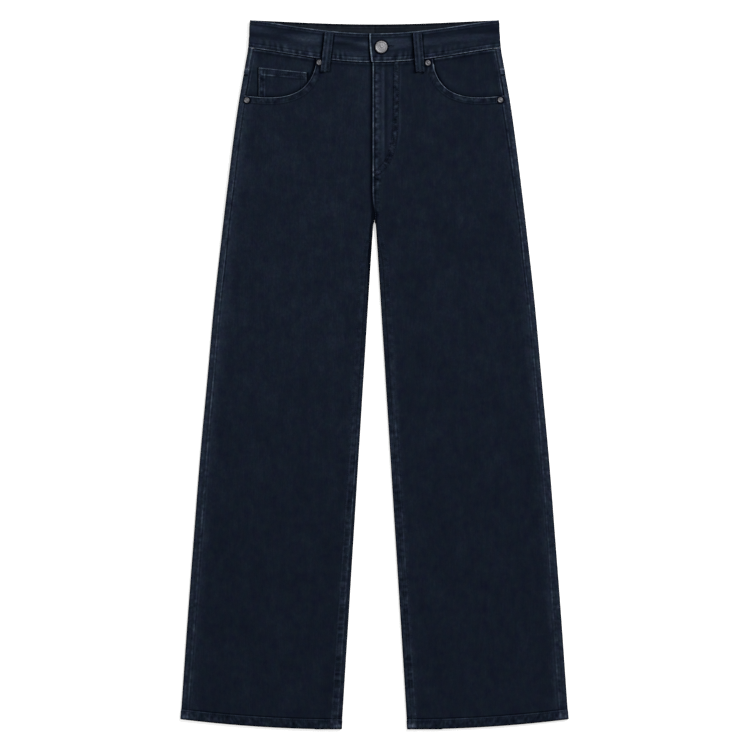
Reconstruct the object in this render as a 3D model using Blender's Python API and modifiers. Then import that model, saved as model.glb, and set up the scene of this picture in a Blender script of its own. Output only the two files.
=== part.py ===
"""Wide leg five-pocket jeans laid flat on their back, front up. Metres, +Z up.

X runs across the garment (the wearer's left is +X), +Y points to the waist, and the cloth rests on z = 0.
Places along the garment are given as "down", the distance below the highest point of the waist.
Each cloth piece is an open sheet through rows of points, given its wall by Solidify.
"""

import math
from collections import namedtuple

import bmesh
import bpy

MM = 0.001

# Walls and the clearance between pieces that touch
DENIM = 1.2 * MM
POCKET_CLOTH = 1.0 * MM
BAND_WALL = 2.2 * MM
HEM_WALL = 2.0 * MM
LOOP_WALL = 1.2 * MM
GAP = 0.3 * MM

# Lengths
HEM_SIDE = 1034 * MM
HEM_DROP = 15 * MM
LENGTH = HEM_SIDE + HEM_DROP
HEM_DEPTH = 15 * MM
CROTCH = 298.5 * MM
BAND_HEIGHT = 41 * MM
FRONT_DIP = 21 * MM
BACK_DIP = 7 * MM
YOKE_SIDE = 72 * MM
YOKE_CENTRE_DROP = 38 * MM

# The outline of one side, from waist to hem
Outline = namedtuple("Outline", "down half_width")
SIDE_OUTLINE = (
    Outline(0 * MM, 184.5 * MM),
    Outline(41 * MM, 187.0 * MM),
    Outline(60 * MM, 190.2 * MM),
    Outline(118 * MM, 200.5 * MM),
    Outline(177 * MM, 209.0 * MM),
    Outline(237 * MM, 216.5 * MM),
    Outline(299 * MM, 224.0 * MM),
    Outline(414 * MM, 237.0 * MM),
    Outline(532 * MM, 247.8 * MM),
    Outline(651 * MM, 258.8 * MM),
    Outline(769 * MM, 268.0 * MM),
    Outline(888 * MM, 277.0 * MM),
    Outline(HEM_SIDE, 287.2 * MM),
)
LEG_SPREAD = 0.0624
CROTCH_ROUND = 1.35 * MM
CENTRE = GAP / 2

# Heights of the laid cloth
SEAT_LIFT = 1.5 * MM
BAND_LIFT = 2.0 * MM
HIP_HEIGHT = 4 * DENIM + 3 * GAP
LEG_HEIGHT = 4.6 * MM
LEG_SAG = 1.6 * MM
SAG_START = 8 * MM
SAG_WIDTH = 30 * MM

# The side seam and the inseam lie this far in from the folds, on the front
SEAM_INSET = 7 * MM
INSEAM_SETTLE = 65 * MM
# Between the outer faces at the inseam, which goes round the fold, where the walls come nearer inside
INSEAM_GAP = 0.8 * MM

# Front opening
FLY_EDGE = -1.9 * MM
FLY_LAP = 8 * MM
LAP_DEPTH = DENIM + GAP
BAND_LAP = 34 * MM
BAND_FRONT_RISE = 0.6 * MM
SHIELD_WIDTH = 40 * MM
SHIELD_LENGTH = 145 * MM

# Front pockets
RIVET_RADIUS = 4.3 * MM
BUTTON_RADIUS = 9.3 * MM
BUTTON_X = 10.4 * MM
BUTTON_DOWN = 39.6 * MM

CLOTH_COLOUR = (0.0075, 0.0115, 0.0225, 1)
METAL_COLOUR = (0.30, 0.30, 0.31, 1)


def ease(share):
    """0 to 1 with a level start and end."""
    share = min(max(share, 0.0), 1.0)
    return share * share * (3 - 2 * share)


def mix(a, b, share):
    return a + (b - a) * share


def ramp(value, start, end):
    """0 before start, 1 after end, eased between."""
    return ease((value - start) / (end - start))


def outer_edge(down):
    """Half width of the garment, a smooth curve through the rows of SIDE_OUTLINE."""
    rows = SIDE_OUTLINE
    i = 0
    while i < len(rows) - 2 and down > rows[i + 1].down:
        i += 1
    here, after = rows[i], rows[i + 1]
    before, beyond = rows[max(i - 1, 0)], rows[min(i + 2, len(rows) - 1)]
    span = after.down - here.down
    slope_in = (after.half_width - before.half_width) / (after.down - before.down) * span
    slope_out = (beyond.half_width - here.half_width) / (beyond.down - here.down) * span
    t = min(max((down - here.down) / span, 0.0), 1.0)
    return (
        (2 * t**3 - 3 * t**2 + 1) * here.half_width
        + (t**3 - 2 * t**2 + t) * slope_in
        + (3 * t**2 - 2 * t**3) * after.half_width
        + (t**3 - t**2) * slope_out
    )


def inner_edge(down):
    """Where the inside of the leg folds, and the centre line above the crotch."""
    below = max(down - CROTCH, 0.0)
    return CENTRE + below * LEG_SPREAD + CROTCH_ROUND * ramp(down, CROTCH - 3 * MM, CROTCH + 6 * MM)


def torso_share(down):
    """1 where the two sides join at the centre, 0 where each leg is a tube of its own."""
    return 1 - ramp(down, CROTCH - 7 * MM, CROTCH)


def dip(x):
    """How the waist curve falls from the side, at 0, to the centre, at 1."""
    return math.cos(math.pi / 2 * min(abs(x) / SIDE_OUTLINE[1].half_width, 1.0)) ** 1.2


def hem_curve(x, down):
    """Share of HEM_DROP at x, from the side fold to the inside fold."""
    outer, inner = outer_edge(down), inner_edge(down)
    across = min(max((outer - abs(x)) / (outer - inner), 0.0), 1.0)
    return 1 - (1 - across) ** 2


def hem_share(level):
    return ramp(level, HEM_SIDE - 330 * MM, HEM_SIDE)


def lift(down):
    """Underside of the back layer: it lies on the back pockets and loops above, on the floor below."""
    seat = mix(BAND_LIFT, SEAT_LIFT, ramp(down, 46 * MM, 70 * MM))
    return seat * (1 - ramp(down, 285 * MM, 360 * MM))


def fold_height(down):
    """Height of the laid garment from the underside to the top at its side folds."""
    return mix(HIP_HEIGHT, LEG_HEIGHT, ramp(down, 230 * MM, 360 * MM))


def top_height(x, down):
    """Upper face of the front, which sags on to the back between a leg's folds."""
    from_fold = min(outer_edge(down) - abs(x), abs(x) - inner_edge(down))
    sag = LEG_SAG * ramp(down, 260 * MM, 400 * MM)
    sag *= 1 - ramp(down, HEM_SIDE - 60 * MM, HEM_SIDE - HEM_DEPTH)
    return lift(down) + fold_height(down) - sag * ramp(from_fold, SAG_START, SAG_START + SAG_WIDTH)


def at(side, x, down, z):
    """A point of the garment. side is 1 for the wearer's left, -1 for the right."""
    return (side * x, LENGTH / 2 - down, z)


def material(name, colour, roughness, metallic=0.0):
    made = bpy.data.materials.new(name)
    made.use_nodes = True
    shader = made.node_tree.nodes["Principled BSDF"]
    shader.inputs["Base Color"].default_value = colour
    shader.inputs["Roughness"].default_value = roughness
    shader.inputs["Metallic"].default_value = metallic
    return made


def finish_mesh(bm, name, finish):
    mesh = bpy.data.meshes.new(name)
    bm.to_mesh(mesh)
    bm.free()
    mesh.materials.append(finish)
    mesh.shade_smooth()
    made = bpy.data.objects.new(name, mesh)
    jeans.objects.link(made)
    return made


def cloth(name, rows, wall, side=1, thick_rows=0, open_cells=()):
    """A sheet lofted through rows of points, with its wall inwards. The last thick_rows are folded double."""
    bm = bmesh.new()
    grid = [[bm.verts.new(point) for point in row] for row in rows]
    for r, (upper, lower) in enumerate(zip(grid, grid[1:])):
        for c, corners in enumerate(zip(upper, upper[1:], lower[1:], lower)):
            if (r, c) not in open_cells:
                bm.faces.new(corners if side > 0 else corners[::-1])
    thick = len(grid[0]) * thick_rows
    count = len(bm.verts)
    made = finish_mesh(bm, name, denim)
    solidify = made.modifiers.new("wall", "SOLIDIFY")
    solidify.thickness = wall
    solidify.offset = -1
    if thick:
        group = made.vertex_groups.new(name="folded")
        group.add(range(count - thick, count), 1.0, "REPLACE")
        solidify.thickness = HEM_WALL
        solidify.vertex_group = group.name
        solidify.thickness_vertex_group = wall / HEM_WALL
    made.data.set_sharp_from_angle(angle=math.radians(40))
    return made


def loft(name, sections, finish):
    """A closed solid through like sections, each a ring of points."""
    bm = bmesh.new()
    rings = [[bm.verts.new(point) for point in section] for section in sections]
    for upper, lower in zip(rings, rings[1:]):
        for i in range(len(upper)):
            j = (i + 1) % len(upper)
            bm.faces.new((upper[i], upper[j], lower[j], lower[i]))
    bm.faces.new(rings[0][::-1])
    bm.faces.new(rings[-1])
    bmesh.ops.recalc_face_normals(bm, faces=bm.faces)
    return finish_mesh(bm, name, finish)


def spread(start, end, count):
    """count numbers from start to end."""
    return [mix(start, end, i / (count - 1)) for i in range(count)]


def wrap(outer, under, over, inner_x, end_x, bottom_count, top_xs, top_z):
    """(x, z, share of the way to the top) along the underside, round the side fold and back over the top."""
    radius = (over - under) / 2
    fold_x = outer - radius
    points = [(x, under, 0.0) for x in spread(inner_x, fold_x, bottom_count)]
    for step in range(1, 7):
        angle = math.radians(-90 + 30 * step)
        points.append(
            (fold_x + radius * math.cos(angle), under + radius * (1 + math.sin(angle)), step / 6)
        )
    return points + [(x, top_z(x), 1.0) for x in top_xs if end_x <= x < fold_x - 0.5 * MM]


# ---- Waistband -------------------------------------------------------------------------------

BAND_COLUMNS = [x * MM for x in (
    172, 155, 135, 112, 90, 72, 58, 44, 36, 28.6, 22, 15, 8.6, 2, -5, -10, -16, -22, -28)]
# The hole lies between these columns, and between these shares of the band's height
BUTTONHOLE = (28.6 * MM, 8.6 * MM, 0.41, 0.50)


def band_under(down):
    return lift(down) - (BAND_WALL - DENIM) / 2


def band_over(down):
    return lift(down) + HIP_HEIGHT + (BAND_WALL - DENIM) / 2


def left_band_top(x, down):
    """The left end lies over the right one."""
    return band_over(down) + BAND_FRONT_RISE * (1 - ramp(x, 34 * MM, 62 * MM))


def right_band_top(x, down):
    """The right end dips under the left one. x is counted from the centre towards the wearer's right."""
    lapped = band_under(down) + 2 * BAND_WALL + GAP
    return mix(band_over(down), lapped, 1 - ramp(x, 8 * MM, 26 * MM))


def waistband(name, side, end_at, top_z, hole=None):
    """Half of the band, from the centre back round the side fold to its front end."""
    shares = (0.0, 0.06, 0.41, 0.50, 0.94, 1.0)
    rows = []
    for share in shares:
        level = BAND_HEIGHT * share
        end_x = end_at(share)
        columns = [x for x in BAND_COLUMNS if x > end_at(0.5) + 4 * MM] + [end_x]
        row = wrap(
            outer_edge(level), band_under(level), band_over(level), CENTRE, end_x, 12,
            columns, lambda x: top_z(x, level),
        )
        rows.append([
            at(side, x, level + dip(x) * mix(BACK_DIP, FRONT_DIP, over), z) for x, z, over in row
        ])
    open_cells = set()
    if hole:
        after, before, start, end = hole
        first = len(rows[0]) - len(columns)
        open_cells = {
            (shares.index(start), first + i) for i, x in enumerate(columns) if before < x <= after
        }
    return cloth(name, rows, BAND_WALL, side, open_cells=open_cells)


def left_end(share):
    """The visible end of the band bows a little."""
    return mix(-5.8, -3.8, share) * MM - 2.3 * MM * 4 * share * (1 - share)


def right_end(share):
    return -BAND_LAP


# ---- Back yokes and back panels --------------------------------------------------------------

def band_foot(x, over):
    """Lower edge of the waistband, on the back at over 0 and on the front at over 1."""
    return BAND_HEIGHT + dip(x) * mix(BACK_DIP, FRONT_DIP, over)


def yoke_seam(x, over):
    """The seam is a shallow V that falls to the centre back."""
    outer = outer_edge(YOKE_SIDE)
    return YOKE_SIDE + YOKE_CENTRE_DROP * max(1 - abs(x) / outer, 0.0) * (1 - over)


def hip_wrap(level, count):
    """Section of the back cloth above the crotch, from the centre back to the side seam on the front."""
    outer = outer_edge(level)
    over = lift(level) + fold_height(level)
    seam = outer - SEAM_INSET
    return wrap(outer, lift(level), over, CENTRE, seam, count, [seam], lambda x: over)


def yoke(name, side):
    rows = []
    for share in (0.0, 0.5, 1.0):
        level = mix(BAND_HEIGHT + GAP, YOKE_SIDE - GAP / 2, share)
        row = []
        for x, z, over in hip_wrap(level, 10):
            down = mix(band_foot(x, over) + GAP, yoke_seam(x, over) - GAP / 2, share)
            row.append(at(side, x, down, z - lift(level) + lift(down)))
        rows.append(row)
    return cloth(name, rows, DENIM, side)


BACK_LEVELS = [v * MM for v in (
    95, 118, 150, 185, 220, 250, 272, 285, 291.5, 294, 296, 298.5, 302, 308, 316,
    327, 342, 364, 400, 450, 530, 620, 710, 800, 890, 960, 1000)]
INNER_POINTS = 10
# The first strip beside a cut edge on a fold is this narrow, so that its wall stands square
EDGE_STRIP = 0.4 * MM


def inseam_curve(down, distance):
    """(x, z over the underside, share of the way to the top) at a distance from the inside fold's middle.

    The distance runs round the leg, to the back where it is positive and to the front where it is negative.
    """
    radius = fold_height(down) / 2
    quarter = math.pi / 2 * radius
    inner = inner_edge(down)
    if distance > quarter:
        return inner + radius + distance - quarter, 0.0, 0.0
    if distance < -quarter:
        return inner + radius - distance - quarter, 2 * radius, 1.0
    turn = distance / radius
    return inner + radius * (1 - math.cos(turn)), radius * (1 - math.sin(turn)), (1 - math.sin(turn)) / 2


def inseam_place(down):
    """The inseam leaves the fold at the crotch and settles on the front of the leg."""
    radius = fold_height(down) / 2
    return (SEAM_INSET - radius + math.pi / 2 * radius) * ramp(down, CROTCH, CROTCH + INSEAM_SETTLE)


def back_section(level):
    """Section of a back panel: flat to the centre above the crotch, round the inside fold below it."""
    outer, under = outer_edge(level), lift(level)
    over = under + fold_height(level)
    inside = level + HEM_DROP * hem_share(level)
    first = INSEAM_GAP / 2 - inseam_place(inside)
    last = math.pi / 2 * fold_height(inside) / 2 + 5 * MM
    end_x = inseam_curve(inside, last)[0]
    share = torso_share(level)
    points = []
    distances = [first] + spread(first + EDGE_STRIP, last, INNER_POINTS)
    for distance in distances:
        x, z, way = inseam_curve(inside, distance)
        flat_x = mix(CENTRE, end_x, (distance - first) / (last - first))
        points.append((mix(x, flat_x, share), under + mix(z, 0.0, share), mix(way, 0.0, share)))
    seam = outer - SEAM_INSET
    rest = wrap(outer, under, over, end_x, seam, 9, [seam], lambda x: over)
    return points + rest[1:]


def back_panel(name, side):
    levels = [YOKE_SIDE + GAP / 2] + BACK_LEVELS + [HEM_SIDE - HEM_DEPTH - GAP, HEM_SIDE - HEM_DEPTH, HEM_SIDE]
    rows = []
    for level in levels:
        yoke_share = 1 - ramp(level, YOKE_SIDE, 262 * MM)
        row = []
        for x, z, over in back_section(level):
            down = level + yoke_share * (yoke_seam(x, over) - YOKE_SIDE)
            down += HEM_DROP * hem_share(level) * hem_curve(x, level)
            row.append(at(side, x, down, z - lift(level) + lift(down)))
        rows.append(row)
    return cloth(name, rows, DENIM, side, thick_rows=2)


# ---- Front panels ----------------------------------------------------------------------------

# The pocket opening, from the waistband to the side seam: points on the front's cut edge
Opening = namedtuple("Opening", "x down")
POCKET_OPENING = (
    Opening(85.6 * MM, 57.0 * MM),
    Opening(87.0 * MM, 68.0 * MM),
    Opening(90.5 * MM, 79.0 * MM),
    Opening(96.5 * MM, 90.5 * MM),
    Opening(106.5 * MM, 101.5 * MM),
    Opening(121.0 * MM, 109.5 * MM),
    Opening(140.0 * MM, 114.0 * MM),
    Opening(160.0 * MM, 114.8 * MM),
    Opening(178.0 * MM, 113.6 * MM),
    Opening(outer_edge(112 * MM) - SEAM_INSET - GAP, 112 * MM),
)
FRONT_LEVELS = [v * MM for v in (
    150, 185, 220, 250, 272, 285, 291.5, 294, 296, 298.5, 302, 308, 316,
    327, 342, 364, 400, 450, 530, 620, 710, 800, 890, 960, 1000)]
TOP_ROWS = (0.0, 0.12, 0.34, 0.65)
# Distances of the front's columns from its outer and from its inner edge
OUTER_COLUMNS = [d * MM for d in (0, 8, 18, 32)]
INNER_COLUMNS = [d * MM for d in (32, 22, 15, 11, 7, 4, 2)] + [EDGE_STRIP, 0.0]
MIDDLE_COLUMNS = 7
WAIST_COLUMN = 58 * MM


def left_front_edge(down):
    """The left front's centre edge runs a little past the middle, over the right front."""
    return mix(FLY_EDGE, CENTRE, ramp(down, 268 * MM, CROTCH - 5 * MM))


def right_front_edge(down):
    """The right front's edge, under the left one along the fly and beside it below. Towards the wearer's right."""
    lap = mix(FLY_LAP, left_front_edge(down) - GAP, ramp(down, 215 * MM, 250 * MM))
    return -lap


def inner_column(down, distance, centre_edge, top_z):
    """(x, z) of a front panel at a distance from its inner edge."""
    place = -INSEAM_GAP / 2 - inseam_place(down) - distance
    x, z, _ = inseam_curve(down, place)
    on_top = place < -math.pi / 2 * fold_height(down) / 2
    z = top_z(x, down) if on_top else lift(down) + z
    flat_x = centre_edge(down) + distance
    share = torso_share(down)
    return mix(x, flat_x, share), mix(z, top_z(flat_x, down), share)


def front_panel(name, side, centre_edge, top_z):
    """Rows run from the side seam to the centre front or inseam; the top one along the opening and the waist."""
    rows = []
    centre_drop = 28 * MM
    for level in FRONT_LEVELS + [HEM_SIDE - HEM_DEPTH - GAP, HEM_SIDE - HEM_DEPTH, HEM_SIDE]:
        drop = HEM_DROP * hem_share(level)
        inside = level + drop + centre_drop * (1 - ramp(level, FRONT_LEVELS[0], 250 * MM))
        inner = [inner_column(inside, distance, centre_edge, top_z) for distance in INNER_COLUMNS]
        seam = outer_edge(level) - SEAM_INSET - GAP
        outer = [seam - distance for distance in OUTER_COLUMNS]
        middle = spread(outer[-1], inner[0][0], MIDDLE_COLUMNS + 2)[1:-1]
        row = []
        for x in outer + middle:
            share = (seam - x) / (seam - inner[-1][0])
            down = mix(level, inside - drop, share) + drop * hem_curve(x, level)
            row.append((x, down, top_z(x, down)))
        row += [(x, inside, z) for x, z in inner]
        rows.append(row)
    waist = [(mark.x, mark.down) for mark in reversed(POCKET_OPENING[1:])]
    for x in (POCKET_OPENING[0].x, WAIST_COLUMN, *(centre_edge(0) + d for d in INNER_COLUMNS)):
        waist.append((x, band_foot(x, 1) + GAP))
    upper = []
    for share in TOP_ROWS:
        row = []
        for (x0, d0), (x1, d1, _) in zip(waist, rows[0]):
            x, down = mix(x0, x1, share), mix(d0, d1, share)
            row.append((x, down, top_z(x, down)))
        upper.append(row)
    points = [[at(side, *point) for point in row] for row in upper + rows]
    return cloth(name, points, DENIM, side, thick_rows=2)


def right_front_top(x, down):
    """The right front dips under the fly, and lies level again below it."""
    along = 1 - ramp(down, 256 * MM, 276 * MM)
    return top_height(x, down) - LAP_DEPTH * along * (1 - ramp(x, 3 * MM, 17 * MM))


# ---- Pocket facings and coin pocket ----------------------------------------------------------

FACING_HIDDEN = 12 * MM
COIN_HIDDEN = 8 * MM
COIN_OUTER_X = 171 * MM
COIN_INNER_X = 101 * MM
COIN_TOP_OUTER = 70.4 * MM
COIN_TOP_INNER = 77.6 * MM


def opening_offset(distance):
    """The pocket opening moved in under the front panel."""
    moved = []
    for i, mark in enumerate(POCKET_OPENING):
        before, after = POCKET_OPENING[max(i - 1, 0)], POCKET_OPENING[min(i + 1, len(POCKET_OPENING) - 1)]
        run, fall = after.x - before.x, after.down - before.down
        size = math.hypot(run, fall)
        moved.append((mark.x - distance * fall / size, mark.down + distance * run / size))
    return moved


def facing_depth(x, down, deep):
    """Depth of a facing below the front's face: level with it at the band and side seam, under it elsewhere."""
    to_side = outer_edge(down) - SEAM_INSET - x
    to_band = down - band_foot(x, 1)
    side_depth = mix(GAP, LAP_DEPTH + 0.1 * MM, ramp(down, 82 * MM, 104 * MM))
    band_depth = mix(GAP, LAP_DEPTH + 0.1 * MM, 1 - ramp(x, 92 * MM, 108 * MM))
    depth = mix(side_depth, deep, ramp(to_side, 0, 15 * MM))
    return mix(min(band_depth, depth), depth, ramp(to_band, 0, 15 * MM))


def facing(name, side, deep):
    """The hip piece seen inside a pocket opening: rows run from the hidden curved edge to the band and side."""
    curve = opening_offset(FACING_HIDDEN)
    curve[0] = (curve[0][0], band_foot(curve[0][0], 1) + GAP)
    corner_down = BAND_HEIGHT + GAP
    corner = (outer_edge(corner_down) - SEAM_INSET - GAP, corner_down)
    low = curve[-1][1]
    count = len(curve)
    edge = []
    for i in range(count):
        share = i / (count - 1)
        if share < 0.5:
            x = mix(curve[0][0] + 6 * MM, corner[0], share * 2)
            edge.append((x, band_foot(x, 1) + GAP))
        else:
            down = mix(corner_down, low, share * 2 - 1)
            down += (band_foot(corner[0], 1) - BAND_HEIGHT) * (2 - share * 2)
            edge.append((outer_edge(down) - SEAM_INSET - GAP, down))
    curve[-1] = (edge[-1][0] - 3 * MM, low + 4 * MM)
    rows = []
    for share in (0.0, 0.18, 0.36, 0.54, 0.7, 0.85, 1.0):
        row = []
        for (xa, da), (xb, db) in zip(curve, edge):
            x, down = mix(xa, xb, share), mix(da, db, share)
            row.append(at(side, x, down, top_height(x, down) - facing_depth(x, down, deep)))
        rows.append(row)
    return cloth(name, rows, POCKET_CLOTH, side)


def coin_pocket(name, side):
    """The small pocket on the right facing. Its foot goes under the front panel."""
    foot = opening_offset(COIN_HIDDEN)
    rows = []
    for share in (0.0, 0.12, 0.4, 0.7, 1.0):
        row = []
        for x in spread(COIN_OUTER_X, COIN_INNER_X, 9):
            across = (COIN_OUTER_X - x) / (COIN_OUTER_X - COIN_INNER_X)
            top = mix(COIN_TOP_OUTER, COIN_TOP_INNER, across)
            i = next(k for k in range(len(foot) - 1) if foot[k + 1][0] >= x)
            (xa, da), (xb, db) = foot[i], foot[i + 1]
            bottom = mix(da, db, (x - xa) / (xb - xa))
            down = mix(top, bottom, share)
            row.append(at(side, x, down, top_height(x, down) - LAP_DEPTH))
        rows.append(row)
    return cloth(name, rows, POCKET_CLOTH, side)


# ---- Fly shield and zip ----------------------------------------------------------------------

SHIELD_START = -6 * MM
ZIP_CENTRE = 20.5 * MM
ZIP_LENGTH = 140 * MM
TAPE_HALF = 12 * MM
CHAIN_HALF = 2.6 * MM
SLIDER_HALF = 4.4 * MM
SLIDER_LENGTH = 11 * MM


def fly_shield(name):
    """The strip under the zip, rounded at its foot."""
    top = band_foot(SHIELD_START + SHIELD_WIDTH, 1) + 2.5 * MM
    rows = []
    for level in spread(top, top + SHIELD_LENGTH, 9):
        left_to_go = (top + SHIELD_LENGTH - level) / (24 * MM)
        width = SHIELD_WIDTH * (0.35 + 0.65 * math.sqrt(min(left_to_go, 1.0) * (2 - min(left_to_go, 1.0))))
        rows.append([
            at(1, x, level, top_height(x, level) - 2 * LAP_DEPTH)
            for x in spread(SHIELD_START + width, SHIELD_START, 4)
        ])
    return cloth(name, rows, DENIM)


def zip_fastener(name):
    """Both tapes and the closed chain, with the slider at the top, in one solid."""
    top = band_foot(ZIP_CENTRE - TAPE_HALF, 1) + 2.5 * MM
    foot = top + ZIP_LENGTH
    edge, face = DENIM * 0.25, DENIM * 0.75
    sections = []
    for level, half in (
        (top, SLIDER_HALF), (top + SLIDER_LENGTH * 0.6, SLIDER_HALF), (top + SLIDER_LENGTH, CHAIN_HALF),
        (top + 30 * MM, CHAIN_HALF), (mix(top, foot, 0.6), CHAIN_HALF), (foot, CHAIN_HALF),
    ):
        profile = (
            (-TAPE_HALF, edge), (-half, edge), (-half, 0), (half, 0), (half, edge), (TAPE_HALF, edge),
            (TAPE_HALF, face), (half, face), (half, DENIM), (-half, DENIM), (-half, face), (-TAPE_HALF, face),
        )
        base = lift(level) + fold_height(level) - LAP_DEPTH - DENIM
        sections.append([at(1, ZIP_CENTRE + x, level, base + z) for x, z in profile])
    return loft(name, sections, tape)


# ---- Back pockets and belt loops -------------------------------------------------------------

# The back pocket from its inner to its outer edge: x at the top and foot, how far down each is
BackPocket = namedtuple("BackPocket", "top_x foot_x top foot")
BACK_POCKET = (
    BackPocket(30 * MM, 37 * MM, 118 * MM, 233 * MM),
    BackPocket(64 * MM, 69 * MM, 115.5 * MM, 246 * MM),
    BackPocket(98 * MM, 101 * MM, 113 * MM, 256 * MM),
    BackPocket(132 * MM, 131 * MM, 110.5 * MM, 242 * MM),
    BackPocket(165 * MM, 161 * MM, 108 * MM, 226 * MM),
)


def back_pocket(name, side):
    """A flat patch on the underside, on which the seat rests."""
    rows = [
        [at(side, mix(p.top_x, p.foot_x, share), mix(p.top, p.foot, share), 0.0) for p in BACK_POCKET]
        for share in (0.0, 0.5, 1.0)
    ]
    return cloth(name, rows, DENIM, side)


Loop = namedtuple("Loop", "name top_x foot_x")
FRONT_LOOPS = (
    Loop("belt_loop_front_right", -65.9 * MM, -72.7 * MM),
    Loop("belt_loop_front_left", 64.4 * MM, 68.8 * MM),
)
BACK_LOOPS = (
    Loop("belt_loop_back_right", -112 * MM, -115 * MM),
    Loop("belt_loop_back_centre", 0 * MM, 0 * MM),
    Loop("belt_loop_back_left", 112 * MM, 115 * MM),
)
LOOP_WIDTH = 12 * MM
LOOP_BELOW_BAND = 19 * MM
LOOP_ARCH = 1.5 * MM


def front_loop(loop):
    """A strap from the top of the band to the front panel, a little proud of the band between its tacks."""
    top_edge = dip(loop.top_x) * FRONT_DIP
    foot = band_foot(loop.foot_x, 1) + LOOP_BELOW_BAND
    step = band_foot(loop.foot_x, 1)
    rows = []
    for share in (0.0, 0.06, 0.14, 0.28, 0.42, 0.56, 0.68, 0.78, 0.88, 1.0):
        down = mix(top_edge + 0.5 * MM, foot, share)
        centre = mix(loop.top_x, loop.foot_x, share)
        band_face = band_over(0)
        seat = mix(band_face, top_height(loop.foot_x, foot), ramp(down, step + 1 * MM, foot - 3 * MM))
        arch = LOOP_ARCH * math.sin(math.pi * min(share / 0.86, 1.0)) ** 0.8
        z = seat + GAP + LOOP_WALL + arch
        rows.append([
            (x, LENGTH / 2 - down, z)
            for x in (centre + LOOP_WIDTH / 2, centre, centre - LOOP_WIDTH / 2)
        ])
    return cloth(loop.name, rows, LOOP_WALL)


def back_loop(loop):
    """A strap pressed flat between the band and the floor."""
    top_edge = dip(loop.top_x) * BACK_DIP
    foot = band_foot(loop.foot_x, 0) + LOOP_BELOW_BAND
    rows = []
    for share in (0.0, 0.5, 1.0):
        down = mix(top_edge + 0.5 * MM, foot, share)
        centre = mix(loop.top_x, loop.foot_x, share)
        rows.append([
            (x, LENGTH / 2 - down, LOOP_WALL)
            for x in (centre + LOOP_WIDTH / 2, centre, centre - LOOP_WIDTH / 2)
        ])
    return cloth(loop.name, rows, LOOP_WALL)


# ---- Button and rivets -----------------------------------------------------------------------

def turned(name, profile, steps, place):
    """A round piece: a profile of (radius, height), from the top of the axis to its foot."""
    bm = bmesh.new()
    points = [bm.verts.new((radius, 0, height)) for radius, height in profile]
    lines = [bm.edges.new(pair) for pair in zip(points, points[1:])]
    bmesh.ops.spin(
        bm, geom=points + lines, cent=(0, 0, 0), axis=(0, 0, 1), angle=math.tau, steps=steps, use_merge=True
    )
    bmesh.ops.remove_doubles(bm, verts=bm.verts, dist=0.00001)
    bmesh.ops.recalc_face_normals(bm, faces=bm.faces)
    made = finish_mesh(bm, name, metal)
    made.data.set_sharp_from_angle(angle=math.radians(40))
    made.location = place
    return made


def button(name):
    """A shank button: its post goes through the buttonhole to the band's under end."""
    seat = band_under(BAND_HEIGHT / 2) + 2 * BAND_WALL + 2 * GAP
    neck = left_band_top(0, 0) - seat + 0.6 * MM
    post, rim, r = 1.4 * MM, 1.0 * MM, BUTTON_RADIUS
    profile = (
        (0, neck + 2.5 * MM), (0.22 * r, neck + 2.4 * MM), (0.3 * r, neck + 2.0 * MM),
        (0.74 * r, neck + 2.0 * MM), (0.8 * r, neck + 2.6 * MM), (0.92 * r, neck + 2.4 * MM),
        (r, neck + 1.5 * MM), (r, neck + rim), (0.9 * r, neck + 0.3 * MM), (0.45 * r, neck),
        (post, neck - 0.2 * MM), (post, 0), (0, 0),
    )
    return turned(name, profile, 32, at(1, BUTTON_X, BUTTON_DOWN, seat))


Rivet = namedtuple("Rivet", "name x down")
RIVETS = (
    Rivet("rivet_right_top", -81.7 * MM, 62.2 * MM),
    Rivet("rivet_right_side", -188.2 * MM, 118 * MM),
    Rivet("rivet_left_top", 79.2 * MM, 62.9 * MM),
    Rivet("rivet_left_side", 186.4 * MM, 118 * MM),
)


def rivet(mark):
    r = RIVET_RADIUS
    profile = (
        (0, 1.3 * MM), (0.25 * r, 1.2 * MM), (0.38 * r, 0.7 * MM), (0.6 * r, 0.65 * MM),
        (0.75 * r, 1.0 * MM), (0.92 * r, 0.8 * MM), (r, 0.3 * MM), (r, 0), (0, 0),
    )
    seat = max(
        top_height(mark.x + dx, mark.down + dy)
        for dx in (-r, 0, r) for dy in (-r, 0, r)
    )
    return turned(mark.name, profile, 16, (mark.x, LENGTH / 2 - mark.down, seat + GAP))


for old in list(bpy.data.objects):
    bpy.data.objects.remove(old, do_unlink=True)
jeans = bpy.data.collections.new("wide_leg_jeans")
bpy.context.scene.collection.children.link(jeans)
denim = material("dark_denim", CLOTH_COLOUR, 0.9)
tape = material("zip_tape", CLOTH_COLOUR, 0.8)
metal = material("brushed_metal", METAL_COLOUR, 0.45, 1.0)

waistband("waistband_left", 1, left_end, left_band_top, BUTTONHOLE)
waistband("waistband_right", -1, right_end, right_band_top)
for side, word in ((1, "left"), (-1, "right")):
    yoke(f"yoke_{word}", side)
    back_panel(f"back_{word}", side)
    back_pocket(f"back_pocket_{word}", side)
front_panel("front_left", 1, left_front_edge, top_height)
front_panel("front_right", -1, right_front_edge, right_front_top)
facing("pocket_facing_left", 1, LAP_DEPTH + 0.1 * MM)
facing("pocket_facing_right", -1, LAP_DEPTH + POCKET_CLOTH + GAP)
coin_pocket("coin_pocket", -1)
fly_shield("fly_shield")
zip_fastener("zip")
for loop in FRONT_LOOPS:
    front_loop(loop)
for loop in BACK_LOOPS:
    back_loop(loop)
button("button")
for mark in RIVETS:
    rivet(mark)
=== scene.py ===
# Wide leg jeans laid flat on their back and seen straight from above, in soft studio light.
# x runs across the garment (the wearer's left is +x), y points to the waist, z is up. Metres throughout.
# "down" is how far a place lies below the highest point of the waist.
import math
from types import SimpleNamespace

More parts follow.
